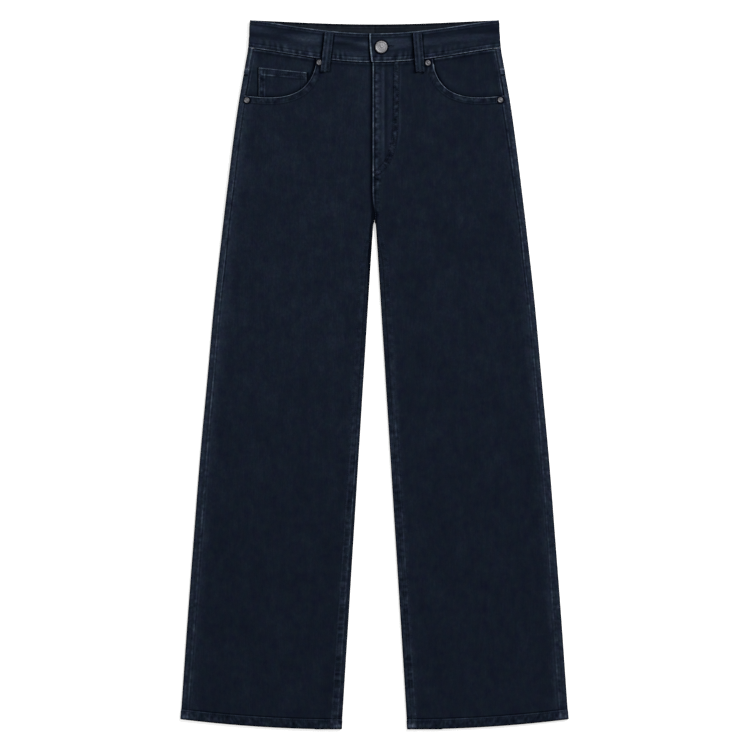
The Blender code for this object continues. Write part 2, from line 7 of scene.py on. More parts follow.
import bpy
import numpy as np
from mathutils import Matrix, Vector
from mathutils.bvhtree import BVHTree


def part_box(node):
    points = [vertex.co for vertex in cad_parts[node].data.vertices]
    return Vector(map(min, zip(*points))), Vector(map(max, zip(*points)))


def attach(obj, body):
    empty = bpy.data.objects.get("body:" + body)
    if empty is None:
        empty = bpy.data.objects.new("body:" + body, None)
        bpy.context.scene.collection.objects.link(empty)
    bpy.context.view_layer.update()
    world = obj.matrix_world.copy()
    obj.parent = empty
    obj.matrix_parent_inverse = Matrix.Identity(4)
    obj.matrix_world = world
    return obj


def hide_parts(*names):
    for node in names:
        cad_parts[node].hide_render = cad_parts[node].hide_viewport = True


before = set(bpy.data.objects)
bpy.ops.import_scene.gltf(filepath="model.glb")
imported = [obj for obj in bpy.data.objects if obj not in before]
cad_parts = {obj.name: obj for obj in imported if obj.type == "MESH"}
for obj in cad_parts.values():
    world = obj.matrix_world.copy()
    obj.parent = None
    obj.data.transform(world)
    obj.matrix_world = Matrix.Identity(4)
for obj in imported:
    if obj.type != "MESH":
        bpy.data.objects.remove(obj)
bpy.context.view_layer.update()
mm = 0.001

cut = {  # sizes of the laid garment, the same as the solids'
    "length": 1049 * mm, "hemSide": 1034 * mm, "hemDrop": 15 * mm, "hemDepth": 15 * mm,
    "crotch": 298.5 * mm, "bandHeight": 41 * mm, "frontDip": 21 * mm, "backDip": 7 * mm,
    "yokeSide": 72 * mm, "yokeDrop": 38 * mm, "legSpread": 0.0624, "crotchRound": 1.35 * mm,
    "gap": 0.3 * mm, "inset": 7 * mm, "settle": 65 * mm, "denim": 1.2 * mm, "bandWall": 2.2 * mm,
    "seatLift": 1.5 * mm, "bandLift": 2.0 * mm, "hipHeight": 5.7 * mm, "legHeight": 4.6 * mm,
    "sag": 1.6 * mm, "flyEdge": -1.9 * mm, "flyLap": 8 * mm, "lapDepth": 1.5 * mm, "bandLap": 34 * mm,
    "hemWall": 2.0 * mm,
}
sideOutline = np.array([  # down, half width, in millimetres
    (0, 184.5), (41, 187.0), (60, 190.2), (118, 200.5), (177, 209.0), (237, 216.5), (299, 224.0),
    (414, 237.0), (532, 247.8), (651, 258.8), (769, 268.0), (888, 277.0), (1034, 287.2)]) * mm
pocketOpening = np.array([  # x, down of the front's cut edge, from the waistband to the side seam
    (85.6, 57.0), (87.0, 68.0), (90.5, 79.0), (96.5, 90.5), (106.5, 101.5), (121.0, 109.5),
    (140.0, 114.0), (160.0, 114.8), (178.0, 113.6), (192.4, 112.0)]) * mm


def ease(t):
    t = np.clip(t, 0.0, 1.0)
    return t * t * (3 - 2 * t)


def mix(a, b, t):
    return a + (b - a) * t


def ramp(value, start, end):
    return ease((value - start) / (end - start))


def bump(value, centre, width):  # a soft bell, 1 at the centre, nothing past the width
    return ease(1 - np.abs(value - centre) / width)


def rampMm(value, start, end):  # the same with both ends in millimetres
    return ramp(value, start * mm, end * mm)


def bumpMm(value, centre, width):
    return bump(value, centre * mm, width * mm)


def smoothRow(knots, values, at):  # a smooth curve through the knots
    at = np.asarray(at, dtype=float)
    i = np.clip(np.searchsorted(knots, at) - 1, 0, len(knots) - 2)
    before, after = np.maximum(i - 1, 0), np.minimum(i + 2, len(knots) - 1)
    span = knots[i + 1] - knots[i]
    slopeIn = (values[i + 1] - values[before]) / (knots[i + 1] - knots[before]) * span
    slopeOut = (values[after] - values[i]) / (knots[after] - knots[i]) * span
    t = np.clip((at - knots[i]) / span, 0, 1)
    return ((2 * t**3 - 3 * t**2 + 1) * values[i] + (t**3 - 2 * t**2 + t) * slopeIn
            + (3 * t**2 - 2 * t**3) * values[i + 1] + (t**3 - t**2) * slopeOut)


def outerEdge(down):
    return smoothRow(sideOutline[:, 0], sideOutline[:, 1], down)


def sideSeam(down):  # the front's edge, beside the strip of the back that folds round to it
    return outerEdge(down) - cut["inset"] - cut["gap"]


def pastCrotch(down, start, end):  # 0 to 1 between two levels, given in millimetres below the crotch
    return ramp(down, cut["crotch"] + start * mm, cut["crotch"] + end * mm)


def innerEdge(down):
    below = np.maximum(down - cut["crotch"], 0)
    return cut["gap"] / 2 + below * cut["legSpread"] + cut["crotchRound"] * pastCrotch(down, 0.5, 4)


def torsoShare(down):
    return 1 - pastCrotch(down, -3, 2)


def waistDip(x):
    return np.cos(math.pi / 2 * np.minimum(np.abs(x) / (187 * mm), 1.0)) ** 1.2


def hemShare(level):
    return ramp(level, cut["hemSide"] - 330 * mm, cut["hemSide"])


def hemCurve(x, down):
    outer, inner = outerEdge(down), innerEdge(down)
    across = np.clip((outer - np.abs(x)) / (outer - inner), 0, 1)
    return 1 - (1 - across) ** 2


def hemEdge(x):  # how far down the hem's edge lies
    return cut["hemSide"] + cut["hemDrop"] * hemCurve(x, cut["hemSide"])


def lift(down):
    seat = mix(cut["bandLift"], cut["seatLift"], rampMm(down, 46, 70))
    return seat * (1 - rampMm(down, 285, 360))


def foldHeight(down):
    return mix(cut["hipHeight"], cut["legHeight"], rampMm(down, 230, 360))


def topHeight(x, down):
    fromFold = np.minimum(outerEdge(down) - np.abs(x), np.abs(x) - innerEdge(down))
    sag = cut["sag"] * rampMm(down, 260, 400)
    sag = sag * (1 - ramp(down, cut["hemSide"] - 60 * mm, cut["hemSide"] - cut["hemDepth"]))
    return lift(down) + foldHeight(down) - sag * rampMm(fromFold, 8, 38)


def bandTop(x, over):  # over is 1 in front and 0 behind
    return waistDip(x) * mix(cut["backDip"], cut["frontDip"], over)


def bandFoot(x, over):
    return cut["bandHeight"] + bandTop(x, over)


def yokeSeam(x, over):
    fromSide = np.maximum(1 - np.abs(x) / outerEdge(cut["yokeSide"]), 0)
    return cut["yokeSide"] + cut["yokeDrop"] * fromSide * (1 - over)


def pieceName(node):  # the scene's name for the piece that stands for a node
    first, *others = node.split("_")
    return first + "".join(part.title() for part in others)


def placed(name, data):
    made = bpy.data.objects.new(name, data)
    bpy.context.scene.collection.objects.link(made)
    return made


def pointsOf(mesh):
    places = np.zeros(len(mesh.vertices) * 3)
    mesh.vertices.foreach_get("co", places)
    return places.reshape(-1, 3)


def cornersOf(mesh):
    corners = np.zeros(len(mesh.loops), dtype=int)
    mesh.loops.foreach_get("vertex_index", corners)
    return corners


def lengthsOf(line):  # how far along a line each of its points is
    return np.append(0, np.cumsum(np.linalg.norm(np.diff(line, axis=0), axis=1)))


# cloth sheets: a grid of points with its uv in metres, its wear with painted shade, and its nearest seam

def noiseLine(along, step, seed):  # smooth noise from -1 to 1 along a line, one value each step
    rng = np.random.default_rng(seed)
    values = rng.uniform(-1, 1, 4096)
    place = np.asarray(along, dtype=float) / step + 512
    i = np.floor(place).astype(int) % 4095
    t = place - np.floor(place)
    return mix(values[i], values[i + 1], t * t * (3 - 2 * t))


def noiseSheet(x, y, step, seed):  # the same on a plane
    rng = np.random.default_rng(seed)
    values = rng.uniform(-1, 1, (256, 256))
    px, py = np.asarray(x) / step + 64, np.asarray(y) / step + 64
    i, j = np.floor(px).astype(int) % 255, np.floor(py).astype(int) % 255
    tx, ty = ease(px - np.floor(px)), ease(py - np.floor(py))
    return mix(mix(values[i, j], values[i + 1, j], tx), mix(values[i, j + 1], values[i + 1, j + 1], tx), ty)


def alongLine(x, down, line):  # (length along a polyline, distance from it, which side) of each point
    a, b = line[:-1], line[1:]
    size = np.linalg.norm(b - a, axis=1)
    start = lengthsOf(line)[:-1]
    best = np.full(np.shape(x), 1e9)
    along = np.zeros(np.shape(x))
    turn = np.zeros(np.shape(x))
    for (ax, ay), (bx, by), length, begun in zip(a, b, size, start):
        ux, uy = (bx - ax) / length, (by - ay) / length
        t = np.clip((x - ax) * ux + (down - ay) * uy, 0, length)
        dx, dy = x - ax - t * ux, down - ay - t * uy
        away = np.hypot(dx, dy)
        nearer = away < best
        best = np.where(nearer, away, best)
        along = np.where(nearer, begun + t, along)
        turn = np.where(nearer, np.sign(ux * dy - uy * dx), turn)
    return along, best, turn


def sheetNormals(points):
    normals = np.cross(np.gradient(points, axis=1), np.gradient(points, axis=0))
    return normals / np.maximum(np.linalg.norm(normals, axis=2, keepdims=True), 1e-12)


sheets = {}


def addSheet(node, finished, wall, side=1, thickRows=0, openCells=None, turned=False, reverse=None):
    # finished: the outer face (rows go down, columns so that row x column points out), its wear with painted
    # shade, its seam
    points, wear, seam = finished
    rows, columns = wear.shape
    steps = np.hypot(np.diff(points[:, :, 0], axis=1), np.diff(points[:, :, 2], axis=1))
    u = np.concatenate([np.zeros((rows, 1)), np.cumsum(steps, axis=1)], axis=1)
    middle = columns // 2
    facing = np.sign(points[0, 0, 0] - points[0, -1, 0])
    u = u - (u[:, middle] + points[:, middle, 0] * facing)[:, None]
    uv = np.stack([u * side, -points[:, :, 1]], axis=2)  # the twill leans the same way on both sides
    if turned:  # this piece's warp runs across the garment
        uv = uv[:, :, ::-1]
    index = np.arange(rows * columns).reshape(rows, columns)
    faces = np.stack([index[:-1, :-1], index[:-1, 1:], index[1:, 1:], index[1:, :-1]], axis=2)
    faces = faces.reshape(-1, 4) if openCells is None else faces[~openCells]
    mesh = bpy.data.meshes.new(pieceName(node))
    mesh.from_pydata((points * (side, 1, 1)).reshape(-1, 3).tolist(), [], faces[:, ::side].tolist())
    mesh.uv_layers.new(name="cloth").data.foreach_set("uv", uv.reshape(-1, 2)[cornersOf(mesh)].ravel())
    wear = wear.ravel().astype(np.float32)
    mesh.attributes.new("wear", "FLOAT", "POINT").data.foreach_set("value", wear)
    seam = seam.ravel().astype(np.float32)
    mesh.attributes.new("seam", "FLOAT_VECTOR", "POINT").data.foreach_set("vector", seam)
    mesh.materials.append(denim)
    mesh.shade_smooth()
    sheets[node] = placed(mesh.name, mesh)
    thickness = sheets[node].modifiers.new("wall", "SOLIDIFY")
    thickness.thickness = wall
    thickness.offset = -1
    if reverse:
        mesh.materials.append(reverse)
        thickness.material_offset = 1
    if thickRows:
        group = sheets[node].vertex_groups.new(name="folded")
        group.add(index[-thickRows:].ravel().tolist(), 1.0, "REPLACE")
        thickness.thickness = cut["hemWall"]
        thickness.vertex_group = group.name
        thickness.thickness_vertex_group = wall / cut["hemWall"]


# materials

def linear(hexColour):
    parts = [int(hexColour[i:i + 2], 16) / 255 for i in (1, 3, 5)]
    return tuple(p / 12.92 if p <= 0.04045 else ((p + 0.055) / 1.055) ** 2.4 for p in parts) + (1.0,)


def setInputs(tree, node, inputs):  # an input is a value, a socket or another node
    for key, value in inputs.items():
        if isinstance(value, bpy.types.Node):
            value = value.outputs[0]
        if isinstance(value, bpy.types.NodeSocket):
            tree.links.new(value, node.inputs[key])
        else:
            node.inputs[key].default_value = value


def addNode(tree, kind, settings=None, inputs=None, stops=()):  # stops of a colour ramp: place, colour
    node = tree.nodes.new(kind)
    for key, value in (settings or {}).items():
        setattr(node, key, value)
    setInputs(tree, node, inputs or {})
    for number, (place, colour) in enumerate(stops):
        elements = node.color_ramp.elements
        element = elements[number] if number < 2 else elements.new(place)
        element.position = place
        element.color = linear(colour)
    return node


def newMaterial(name):
    made = bpy.data.materials.new(name)
    made.use_nodes = True
    return made, made.node_tree, made.node_tree.nodes["Principled BSDF"]


denimLook = {  # spots: size across and along the warp in millimetres, detail, roughness
    "deep": "#00030c", "base": "#0e1521", "lifted": "#1c2432", "light": "#3c4756", "brightest": "#6c7988",
    "yarn": 0.95 * mm,
    "spots": {"slub": (1.5, 30, 2, 0.55), "speckle": (3, 4.5, 2, 0.55), "patch": (40, 56, 3, 0.55),
              "cloud": (11, 19.8, 2, 0.55), "hue": (15.4, 15.4, 3, 0.55), "depth": (7.7, 11, 3, 0.55),
              "pucker": (5.4, 9, 1.5, 0.5)},
}


def darkDenim(name, look):
    # Washed cotton twill, nearly black: indigo stays in the grooves and is rubbed light on every raised edge.
    # Its per-point tone value carries that wear and also painted shade and painted shadows.
    # Its reverse shows more of the undyed weft. The real yarns are 0.4 mm apart; they are drawn about 1 mm
    # apart, the finest that the render can show.
    made, tree, shader = newMaterial(name)
    cloth = addNode(tree, "ShaderNodeUVMap", {"uv_map": "cloth"})
    seam = addNode(tree, "ShaderNodeAttribute", {"attribute_name": "seam"}).outputs["Vector"]
    slant = (math.tau / look["yarn"], math.tau / (look["yarn"] * 1.7), 0)
    across = addNode(tree, "ShaderNodeVectorMath", {"operation": "DOT_PRODUCT"}, {0: cloth, 1: slant})
    value = {"across": across.outputs["Value"],
             "worn": addNode(tree, "ShaderNodeAttribute", {"attribute_name": "wear"}).outputs["Fac"],
             "strength": addNode(tree, "ShaderNodeSeparateXYZ", None, {0: seam}).outputs["Z"]}
    for seed, (spot, (wide, long, detail, rough)) in enumerate(look["spots"].items(), 1):
        pucker = spot == "pucker"
        place = addNode(tree, "ShaderNodeVectorMath", {"operation": "MULTIPLY"},
                        {0: seam if pucker else cloth, 1: (1 / (wide * mm), 1 / (long * mm), 0)})
        noise = {"Vector": place, "Scale": 1.0, "Detail": detail, "Roughness": rough}
        if not pucker:
            noise["W"] = seed
        dimensions = "3D" if pucker else "4D"
        value[spot] = addNode(tree, "ShaderNodeTexNoise", {"noise_dimensions": dimensions}, noise)
    mixing = [  # name of the result, operation, and what it works on: results so far or numbers
        ("twill", "SINE", "across"), ("pucker", "MULTIPLY_ADD", "pucker", 5.0, -2.5),
        ("pucker", "MULTIPLY", "pucker", "strength"), ("rubbed", "MULTIPLY_ADD", "speckle", 0.8, 0.6),
        ("tone", "MULTIPLY_ADD", "slub", 0.19, -0.54), ("tone", "MULTIPLY_ADD", "speckle", 0.33, "tone"),
        ("tone", "MULTIPLY_ADD", "cloud", 0.26, "tone"), ("tone", "MULTIPLY_ADD", "patch", 0.30, "tone"),
        # the per-point value adds rubbed wear and painted shade to the tone
        ("tone", "MULTIPLY_ADD", "twill", 0.03, "tone"), ("tone", "MULTIPLY_ADD", "worn", "rubbed", "tone"),
        # puckers are drawn lighter where raised and darker in their hollows: partly rubbed wear, partly
        # painted shading of the relief
        ("tone", "MULTIPLY_ADD", "pucker", 0.42, "tone"), ("tone", "MULTIPLY_ADD", "tone", 0.5, 0.353),
        ("hue", "MULTIPLY_ADD", "hue", 0.13, 0.435), ("depth", "MULTIPLY_ADD", "depth", 0.6, 0.67),
        ("rough", "MULTIPLY_ADD", "speckle", 0.2, 0.72), ("height", "MULTIPLY", "pucker", 0.42 * mm),
        ("height", "MULTIPLY_ADD", "twill", 0.03 * mm, "height"),
        ("height", "MULTIPLY_ADD", "slub", 0.2 * mm, "height"),
        ("height", "MULTIPLY_ADD", "speckle", 0.18 * mm, "height")]
    for result, operation, *given in mixing:
        given = {place: value.get(item, item) for place, item in enumerate(given)}
        value[result] = addNode(tree, "ShaderNodeMath", {"operation": operation}, given)
    colour = addNode(tree, "ShaderNodeValToRGB", None, {0: value["tone"]}, [
        (0.12, look["deep"]), (0.35, look["base"]), (0.5, look["lifted"]), (0.75, look["light"]),
        (1.0, look["brightest"])])
    dyed = addNode(tree, "ShaderNodeHueSaturation", None, {
        "Hue": value["hue"], "Saturation": value["depth"], "Color": colour})
    relief = addNode(tree, "ShaderNodeBump", None, {
        "Strength": 0.9, "Distance": 1.0, "Height": value["height"]})
    setInputs(tree, shader, {
        "Base Color": dyed, "Normal": relief, "Roughness": value["rough"], "Specular IOR Level": 0.035,
        "Sheen Weight": 0.018, "Sheen Roughness": 0.5, "Sheen Tint": linear("#8fa3c4")})
    return made


def mottled(name, look):
    # spots: size, detail, and the ramp's two places; grain: size, detail, strength and depth; in millimetres
    made, tree, shader = newMaterial(name)
    place = addNode(tree, "ShaderNodeTexCoord").outputs["Object"]
    size, detail, first, last = look["spots"]
    spots = addNode(tree, "ShaderNodeTexNoise", None, {
        "Vector": place, "Scale": 1 / (size * mm), "Detail": detail})
    stops = [(first, look["dark"]), (last, look["light"])]
    colour = addNode(tree, "ShaderNodeValToRGB", None, {0: spots}, stops)
    size, detail, strength, depth = look["grain"]
    grain = addNode(tree, "ShaderNodeTexNoise", None, {
        "Vector": place, "Scale": 1 / (size * mm), "Detail": detail})
    relief = addNode(tree, "ShaderNodeBump", None, {
        "Strength": strength, "Distance": depth * mm, "Height": grain})
    setInputs(tree, shader, {"Base Color": colour, "Normal": relief, **look["shader"]})
    if "rough" in look:  # between two values, by the grain
        low, high = look["rough"]
        rough = addNode(tree, "ShaderNodeMapRange", None, {0: grain, 3: low, 4: high})
        setInputs(tree, shader, {"Roughness": rough})
    return made


threadLook = {  # polyester-wrapped cotton sewing thread, dyed to match: a faint shine along each stitch
    "dark": "#0c131f", "light": "#1a2639", "spots": (6, 1, 0.3, 0.7), "grain": (0.5, 1, 0.5, 0.1),
    "shader": {"Roughness": 0.6, "Specular IOR Level": 0.14}}
nickelLook = {  # nickel-plated brass, tumbled dull: grey, with a soft broken shine
    "dark": "#66666a", "light": "#9a9a9d", "spots": (1.6, 3, 0.25, 0.7), "grain": (0.5, 2, 0.35, 0.05),
    "rough": (0.52, 0.7), "shader": {"Metallic": 1.0}}
denim = darkDenim("darkDenimTwill", denimLook)
denimReverse = darkDenim("darkDenimReverse", {**denimLook, "base": "#13181f", "lifted": "#1f242c"})
thread = mottled("tonalSewingThread", threadLook)
nickel = mottled("dullNickelPlate", nickelLook)
darkNickel = mottled("agedNickelPlate", {**nickelLook, "dark": "#3c3c40", "light": "#77777c"})
print("materials ready")

# fronts

frontLook = {
    "sideSteps": [-0.28, 0.5, 1.1, 1.7, 2.3, 3, 3.8, 4.6, 5.6, 7, 9, 12, 16, 21],
    "leftSteps": [0, 0.5, 1.1, 1.8, 2.6, 3.4, 4.3, 5.2, 6.2, 7.2, 8.1, 9, 10, 11, 12, 13.2, 14.6, 16, 17.5,
                  19, 20.5, 22, 24.5, 27, 29.3, 31, 32.5, 34, 35.4, 36.8, 38.2, 39.6, 41, 43],
    "rightSteps": [0, 0.6, 1.2, 1.9, 2.7, 3.6, 4.8, 6, 7.2, 8.4, 9.6, 10.5, 11.2, 11.8, 12.4, 13, 13.7, 14.6,
                   16, 18, 21, 25, 31],
    "middleColumns": 58, "openingColumns": 48, "rowStep": 2.4 * mm, "topRows": 34, "flyShift": 1.1 * mm,
    "sideLine": ((118, 162, 310, 458, 636, 813, 961), (-0.2, 0.2, 0.9, 1.5, 2.8, 3.7, 3.3),
                 (3.6, 3.3, 1.5, 1.5, 3.0, 4.5, 5.3)),
    "inseamLine": ((300, 560, 636, 813, 961), (3.4, 4.1, 5.8, 8.1, 9.5), (3.2, 3.8, 4.4, 5.8, 6.6)),
    "flyTone": [  # x in millimetres, how much lighter the cloth is there
        (-0.8, 0.0), (0.6, 0.0), (1.6, 0.22), (5.5, 0.24), (7.2, 0.12), (9.2, 0.08), (10.6, 0.18),
        (13.8, 0.32), (15.4, -0.08), (17.6, -0.06), (19.6, 0.08), (26, 0.12), (27.4, -0.12), (28.6, 0.04),
        (30.4, 0.14), (32.6, 0.02), (35, 0.14), (38.6, 0.16), (42, 0.0)],
}


def inseamCurve(down, distance):  # (x, z over the underside) round the inside fold, 0 at its middle
    radius = foldHeight(down) / 2
    quarter = math.pi / 2 * radius
    inner = innerEdge(down)
    turn = np.clip(distance / radius, -math.pi / 2, math.pi / 2)
    x = inner + radius * (1 - np.cos(turn)) + np.maximum(np.abs(distance) - quarter, 0)
    return x, radius * (1 - np.sin(turn))


def inseamPlace(down):
    radius = foldHeight(down) / 2
    settled = ramp(down, cut["crotch"], cut["crotch"] + cut["settle"])
    return (cut["inset"] - radius + math.pi / 2 * radius) * settled


def leftFrontEdge(down):
    return mix(cut["flyEdge"], cut["gap"] / 2, ramp(down, 268 * mm, cut["crotch"] - 5 * mm))


def leftFrontShown(down):  # the left front's edge as it lies, a little past its solid's
    return leftFrontEdge(down) - frontLook["flyShift"] * (1 - rampMm(down, 250, 285))


def rightFrontEdge(down):
    lap = mix(cut["flyLap"], leftFrontShown(down) - cut["gap"], rampMm(down, 215, 250))
    return -lap


def rightFrontTop(x, down):
    along = 1 - rampMm(down, 256, 276)
    return topHeight(x, down) - cut["lapDepth"] * along * (1 - rampMm(x, 3, 17))


def resample(line, lengths):
    size = lengthsOf(line)
    return np.stack([np.interp(lengths, size, line[:, k]) for k in range(line.shape[1])], axis=1)


def smoothLine(marks, count):
    size = lengthsOf(marks)
    at = np.linspace(0, size[-1], count)
    return np.stack([smoothRow(size, marks[:, 0], at), smoothRow(size, marks[:, 1], at)], axis=1)


opening = smoothLine(pocketOpening, 80)[::-1]  # from the side seam to the waistband
openingLength = lengthsOf(opening)[-1]
hemSteps = np.array([  # from the upper edge of the folded hem
    -4, -3.2, -2.5, -1.9, -1.3, -0.7, 0, 0.7, 1.4, 2.2, 3.2, 4.5, 6, 8, 10, 12, 13.4, 14.3, 15]) * mm
hemRows = cut["hemSide"] - cut["hemDepth"] + hemSteps
foldedRows = np.count_nonzero(hemSteps >= 0)


def frontGrid(centreEdge, topOf, steps, look):
    close = np.array(steps) * mm
    sideClose = np.array(look["sideSteps"]) * mm
    levels = np.arange(150 * mm, cut["hemSide"] - 1e-6, look["rowStep"])
    levels = np.append(levels[levels < cut["hemSide"] - cut["hemDepth"] - 4.4 * mm], hemRows)
    drop = cut["hemDrop"] * hemShare(levels)
    inside = levels + drop + 28 * mm * (1 - rampMm(levels, 150, 250))
    rows = []
    for level, fall, innerDown in zip(levels, drop, inside):
        share = torsoShare(innerDown)
        place = -0.4 * mm - inseamPlace(innerDown) - close[::-1]
        place[-1] += 0.62 * mm * (1 - share)
        tubeX, tubeZ = inseamCurve(innerDown, place)
        onTop = place < -math.pi / 2 * foldHeight(innerDown) / 2
        tubeZ = np.where(onTop, topOf(tubeX, innerDown), lift(innerDown) + tubeZ)
        flatX = centreEdge(innerDown) + close[::-1]
        innerX = mix(tubeX, flatX, share)
        innerZ = mix(tubeZ, topOf(flatX, innerDown), share)
        seam = sideSeam(level)
        outer = seam - sideClose
        middle = np.linspace(outer[-1], innerX[0], look["middleColumns"] + 2)[1:-1]
        x = np.concatenate([outer, middle])
        along = (seam - x) / (seam - innerX[-1])
        down = mix(level, innerDown - fall, along) + fall * hemCurve(x, level)
        z = topOf(x, down)
        rows.append(np.stack([np.append(x, innerX), np.append(down, np.full(len(close), innerDown)),
                              np.append(z, innerZ)], axis=1))
    lower = np.array(rows)
    columns = lower.shape[1]
    openingColumns = look["openingColumns"]
    near = len(close)
    inward = mix(sideClose[-1], openingLength, np.linspace(0, 1, openingColumns - len(sideClose) + 1)[1:])
    top = resample(opening, np.concatenate([sideClose, inward]))
    top[-1, 1] = bandFoot(top[-1, 0], 1) + cut["gap"]
    toCentre = np.linspace(top[-1, 0], centreEdge(0) + close[-1], columns - openingColumns - near + 1)[1:]
    waistX = np.append(toCentre, centreEdge(0) + close[::-1])
    waist = np.stack([waistX, bandFoot(waistX, 1) + cut["gap"]], axis=1)
    top = np.concatenate([top, waist])
    upper = []
    for share in np.linspace(0, 1, look["topRows"] + 1)[:-1] ** 1.6:
        x, down = mix(top[:, 0], lower[0, :, 0], share), mix(top[:, 1], lower[0, :, 1], share)
        upper.append(np.stack([x, down, topOf(x, down)], axis=1))
    return np.concatenate([np.array(upper), lower])


# how a seam shapes the cloth beside it

twinRows = (1.6, 7.4)  # how far two rows of sewing lie from a folded seam's edge, in millimetres
hemSewing = 13.2  # how far above the hem's edge its row lies, in millimetres


def newField(shape):
    parts = ("height", "wear", "strength", "along", "across")
    return SimpleNamespace(**{part: np.zeros(shape) for part in parts})


def pressedBand(away, width, step):  # 1 over the layers under it, falling off past the width
    return 1 - ramp(away, width - step, width + step)


def sew(field, away, run, band, rows, rise, worn, puckered, where, seed):
    # The cloth lies higher over its folded layers, sinks along each row of stitches, is rubbed light
    # on its edge, and puckers between the rows. band, rows and rise in millimetres.
    inside = where * (away > -1 * mm)
    over = pressedBand(away, band * mm, 1.6 * mm)
    field.height += inside * rise * mm * over
    for row in rows:
        field.height -= inside * 0.34 * mm * bump(away, row * mm, 1.3 * mm)
        # each row is drawn darker: partly indigo left in the groove, partly painted shade
        field.wear -= inside * 0.3 * bump(away, row * mm, 1.1 * mm)
    field.height -= inside * 0.5 * rise * mm * (1 - np.clip(away / (1.1 * mm), 0, 1)) ** 2
    streak = 0.9 + 0.3 * noiseLine(run, 14 * mm, seed)
    field.wear += inside * worn * bumpMm(away, 0.2, 1.25) * streak
    field.wear += inside * 0.04 * worn * over
    field.wear += inside * 0.22 * worn * bump(away, (band - 0.6) * mm, 1.3 * mm) * streak
    # painted shadow just past the edge of the raised layers
    field.wear -= inside * 0.3 * worn * bump(away, (band + 1.2) * mm, 1.5 * mm)
    strong = inside * puckered * bump(away, 0.5 * band * mm, (0.5 * band + 4) * mm)
    nearer = strong > field.strength
    field.strength = np.where(nearer, strong, field.strength)
    field.along = np.where(nearer, run + 0.37 * seed, field.along)
    field.across = np.where(nearer, away, field.across)


def shaped(x, down, z, field, seed):  # the finished outer face, its wear with painted shade, and its seam attribute
    points = np.stack([x, cut["length"] / 2 - down, z], axis=2)
    height = field.height + field.strength * 0.16 * mm * noiseLine(field.along, 3.6 * mm, 20 + seed)
    points += sheetNormals(points) * height[:, :, None]
    seam = np.stack([field.along, field.across, field.strength], axis=2)
    return points, np.clip(field.wear, -2.0, 1.1), seam


def alongRows(x, z, fromEnd):  # length over the cloth from the first or the last column
    steps = np.hypot(np.diff(x, axis=1), np.diff(z, axis=1))
    nothing = np.zeros((len(x), 1))
    if fromEnd:
        return np.concatenate([np.cumsum(steps[:, ::-1], axis=1)[:, ::-1], nothing], axis=1)
    return np.concatenate([nothing, np.cumsum(steps, axis=1)], axis=1)


def lineAt(down, places, values):  # a seam's course: places and values in millimetres
    return np.interp(down, np.array(places) * mm, np.array(values) * mm)


def creaseHeight(x, down, rows):
    height = np.zeros(np.shape(x))
    for x0, d0, x1, d1, width, tall in rows:
        line = np.array([(x0, d0), (mix(x0, x1, 0.5) + 4, mix(d0, d1, 0.5) - 3), (x1, d1)]) * mm
        along, away, _ = alongLine(x, down, line)
        tip = np.sin(np.clip(along / lengthsOf(line)[-1], 0, 1) * math.pi) ** 0.7
        height += tall * mm * tip * np.exp(-(away / (width * mm)) ** 2)
    return height

flyStitch = np.array([  # inner row of the curved fly stitching, x and down
    (36.3, 63.5), (36.0, 90), (35.6, 120), (35.0, 150), (33.8, 172), (30.5, 190), (26.0, 203), (20.0, 214.5),
    (12.0, 223.5), (4.0, 230.0), (-1.5, 233.0)]) * mm

creases = {  # soft troughs and ridges: x, down at both ends, half width, height, in millimetres
    "front_left": [
        (12, 292, 92, 236, 9, -0.25), (16, 306, 118, 292, 8, 0.5), (8, 268, 60, 205, 7, -0.25),
        (205, 128, 150, 176, 12, 0.5), (92, 76, 118, 168, 10, -0.2), (58, 84, 64, 190, 12, 0.4),
        (190, 330, 120, 360, 16, 0.4), (225, 452, 130, 500, 20, -0.25), (60, 470, 150, 522, 18, 0.4),
        (250, 610, 170, 655, 22, 0.4), (75, 690, 190, 660, 20, -0.2), (255, 800, 160, 842, 24, 0.4),
        (80, 900, 180, 868, 22, -0.2), (140, 420, 150, 610, 26, 0.3), (205, 620, 218, 800, 24, -0.2),
        (110, 760, 122, 960, 26, 0.3)],
    "front_right": [
        (10, 290, 84, 242, 8, -0.25), (18, 312, 104, 300, 9, 0.5), (14, 262, 52, 196, 8, 0.4),
        (200, 130, 142, 168, 11, -0.2), (96, 78, 128, 160, 10, 0.4), (48, 88, 58, 176, 11, -0.2),
        (205, 318, 128, 352, 15, -0.2), (230, 436, 150, 470, 20, 0.5), (52, 500, 132, 540, 18, -0.2),
        (248, 640, 158, 620, 22, -0.2), (82, 640, 176, 700, 20, 0.4), (262, 780, 170, 812, 24, -0.2),
        (92, 880, 200, 915, 22, 0.4), (128, 380, 138, 560, 24, -0.2), (196, 560, 208, 760, 26, 0.3),
        (120, 800, 134, 980, 24, -0.2)],
    "back_left": [
        (10, 296, 96, 262, 9, -0.3), (20, 318, 120, 330, 10, -0.25), (60, 276, 150, 286, 12, -0.2),
        (215, 300, 140, 330, 16, -0.25), (60, 470, 170, 440, 20, -0.2), (240, 560, 150, 600, 22, -0.25),
        (80, 700, 200, 735, 22, -0.2), (260, 850, 150, 880, 24, -0.25), (120, 360, 132, 620, 26, -0.2)],
    "back_right": [
        (12, 300, 88, 270, 9, -0.25), (18, 326, 108, 318, 10, -0.3), (70, 270, 160, 292, 12, -0.25),
        (212, 316, 150, 352, 16, -0.2), (66, 500, 160, 520, 20, -0.25), (236, 600, 160, 640, 22, -0.2),
        (86, 740, 190, 700, 22, -0.25), (258, 890, 170, 860, 24, -0.2), (180, 400, 190, 660, 26, -0.2)],
}


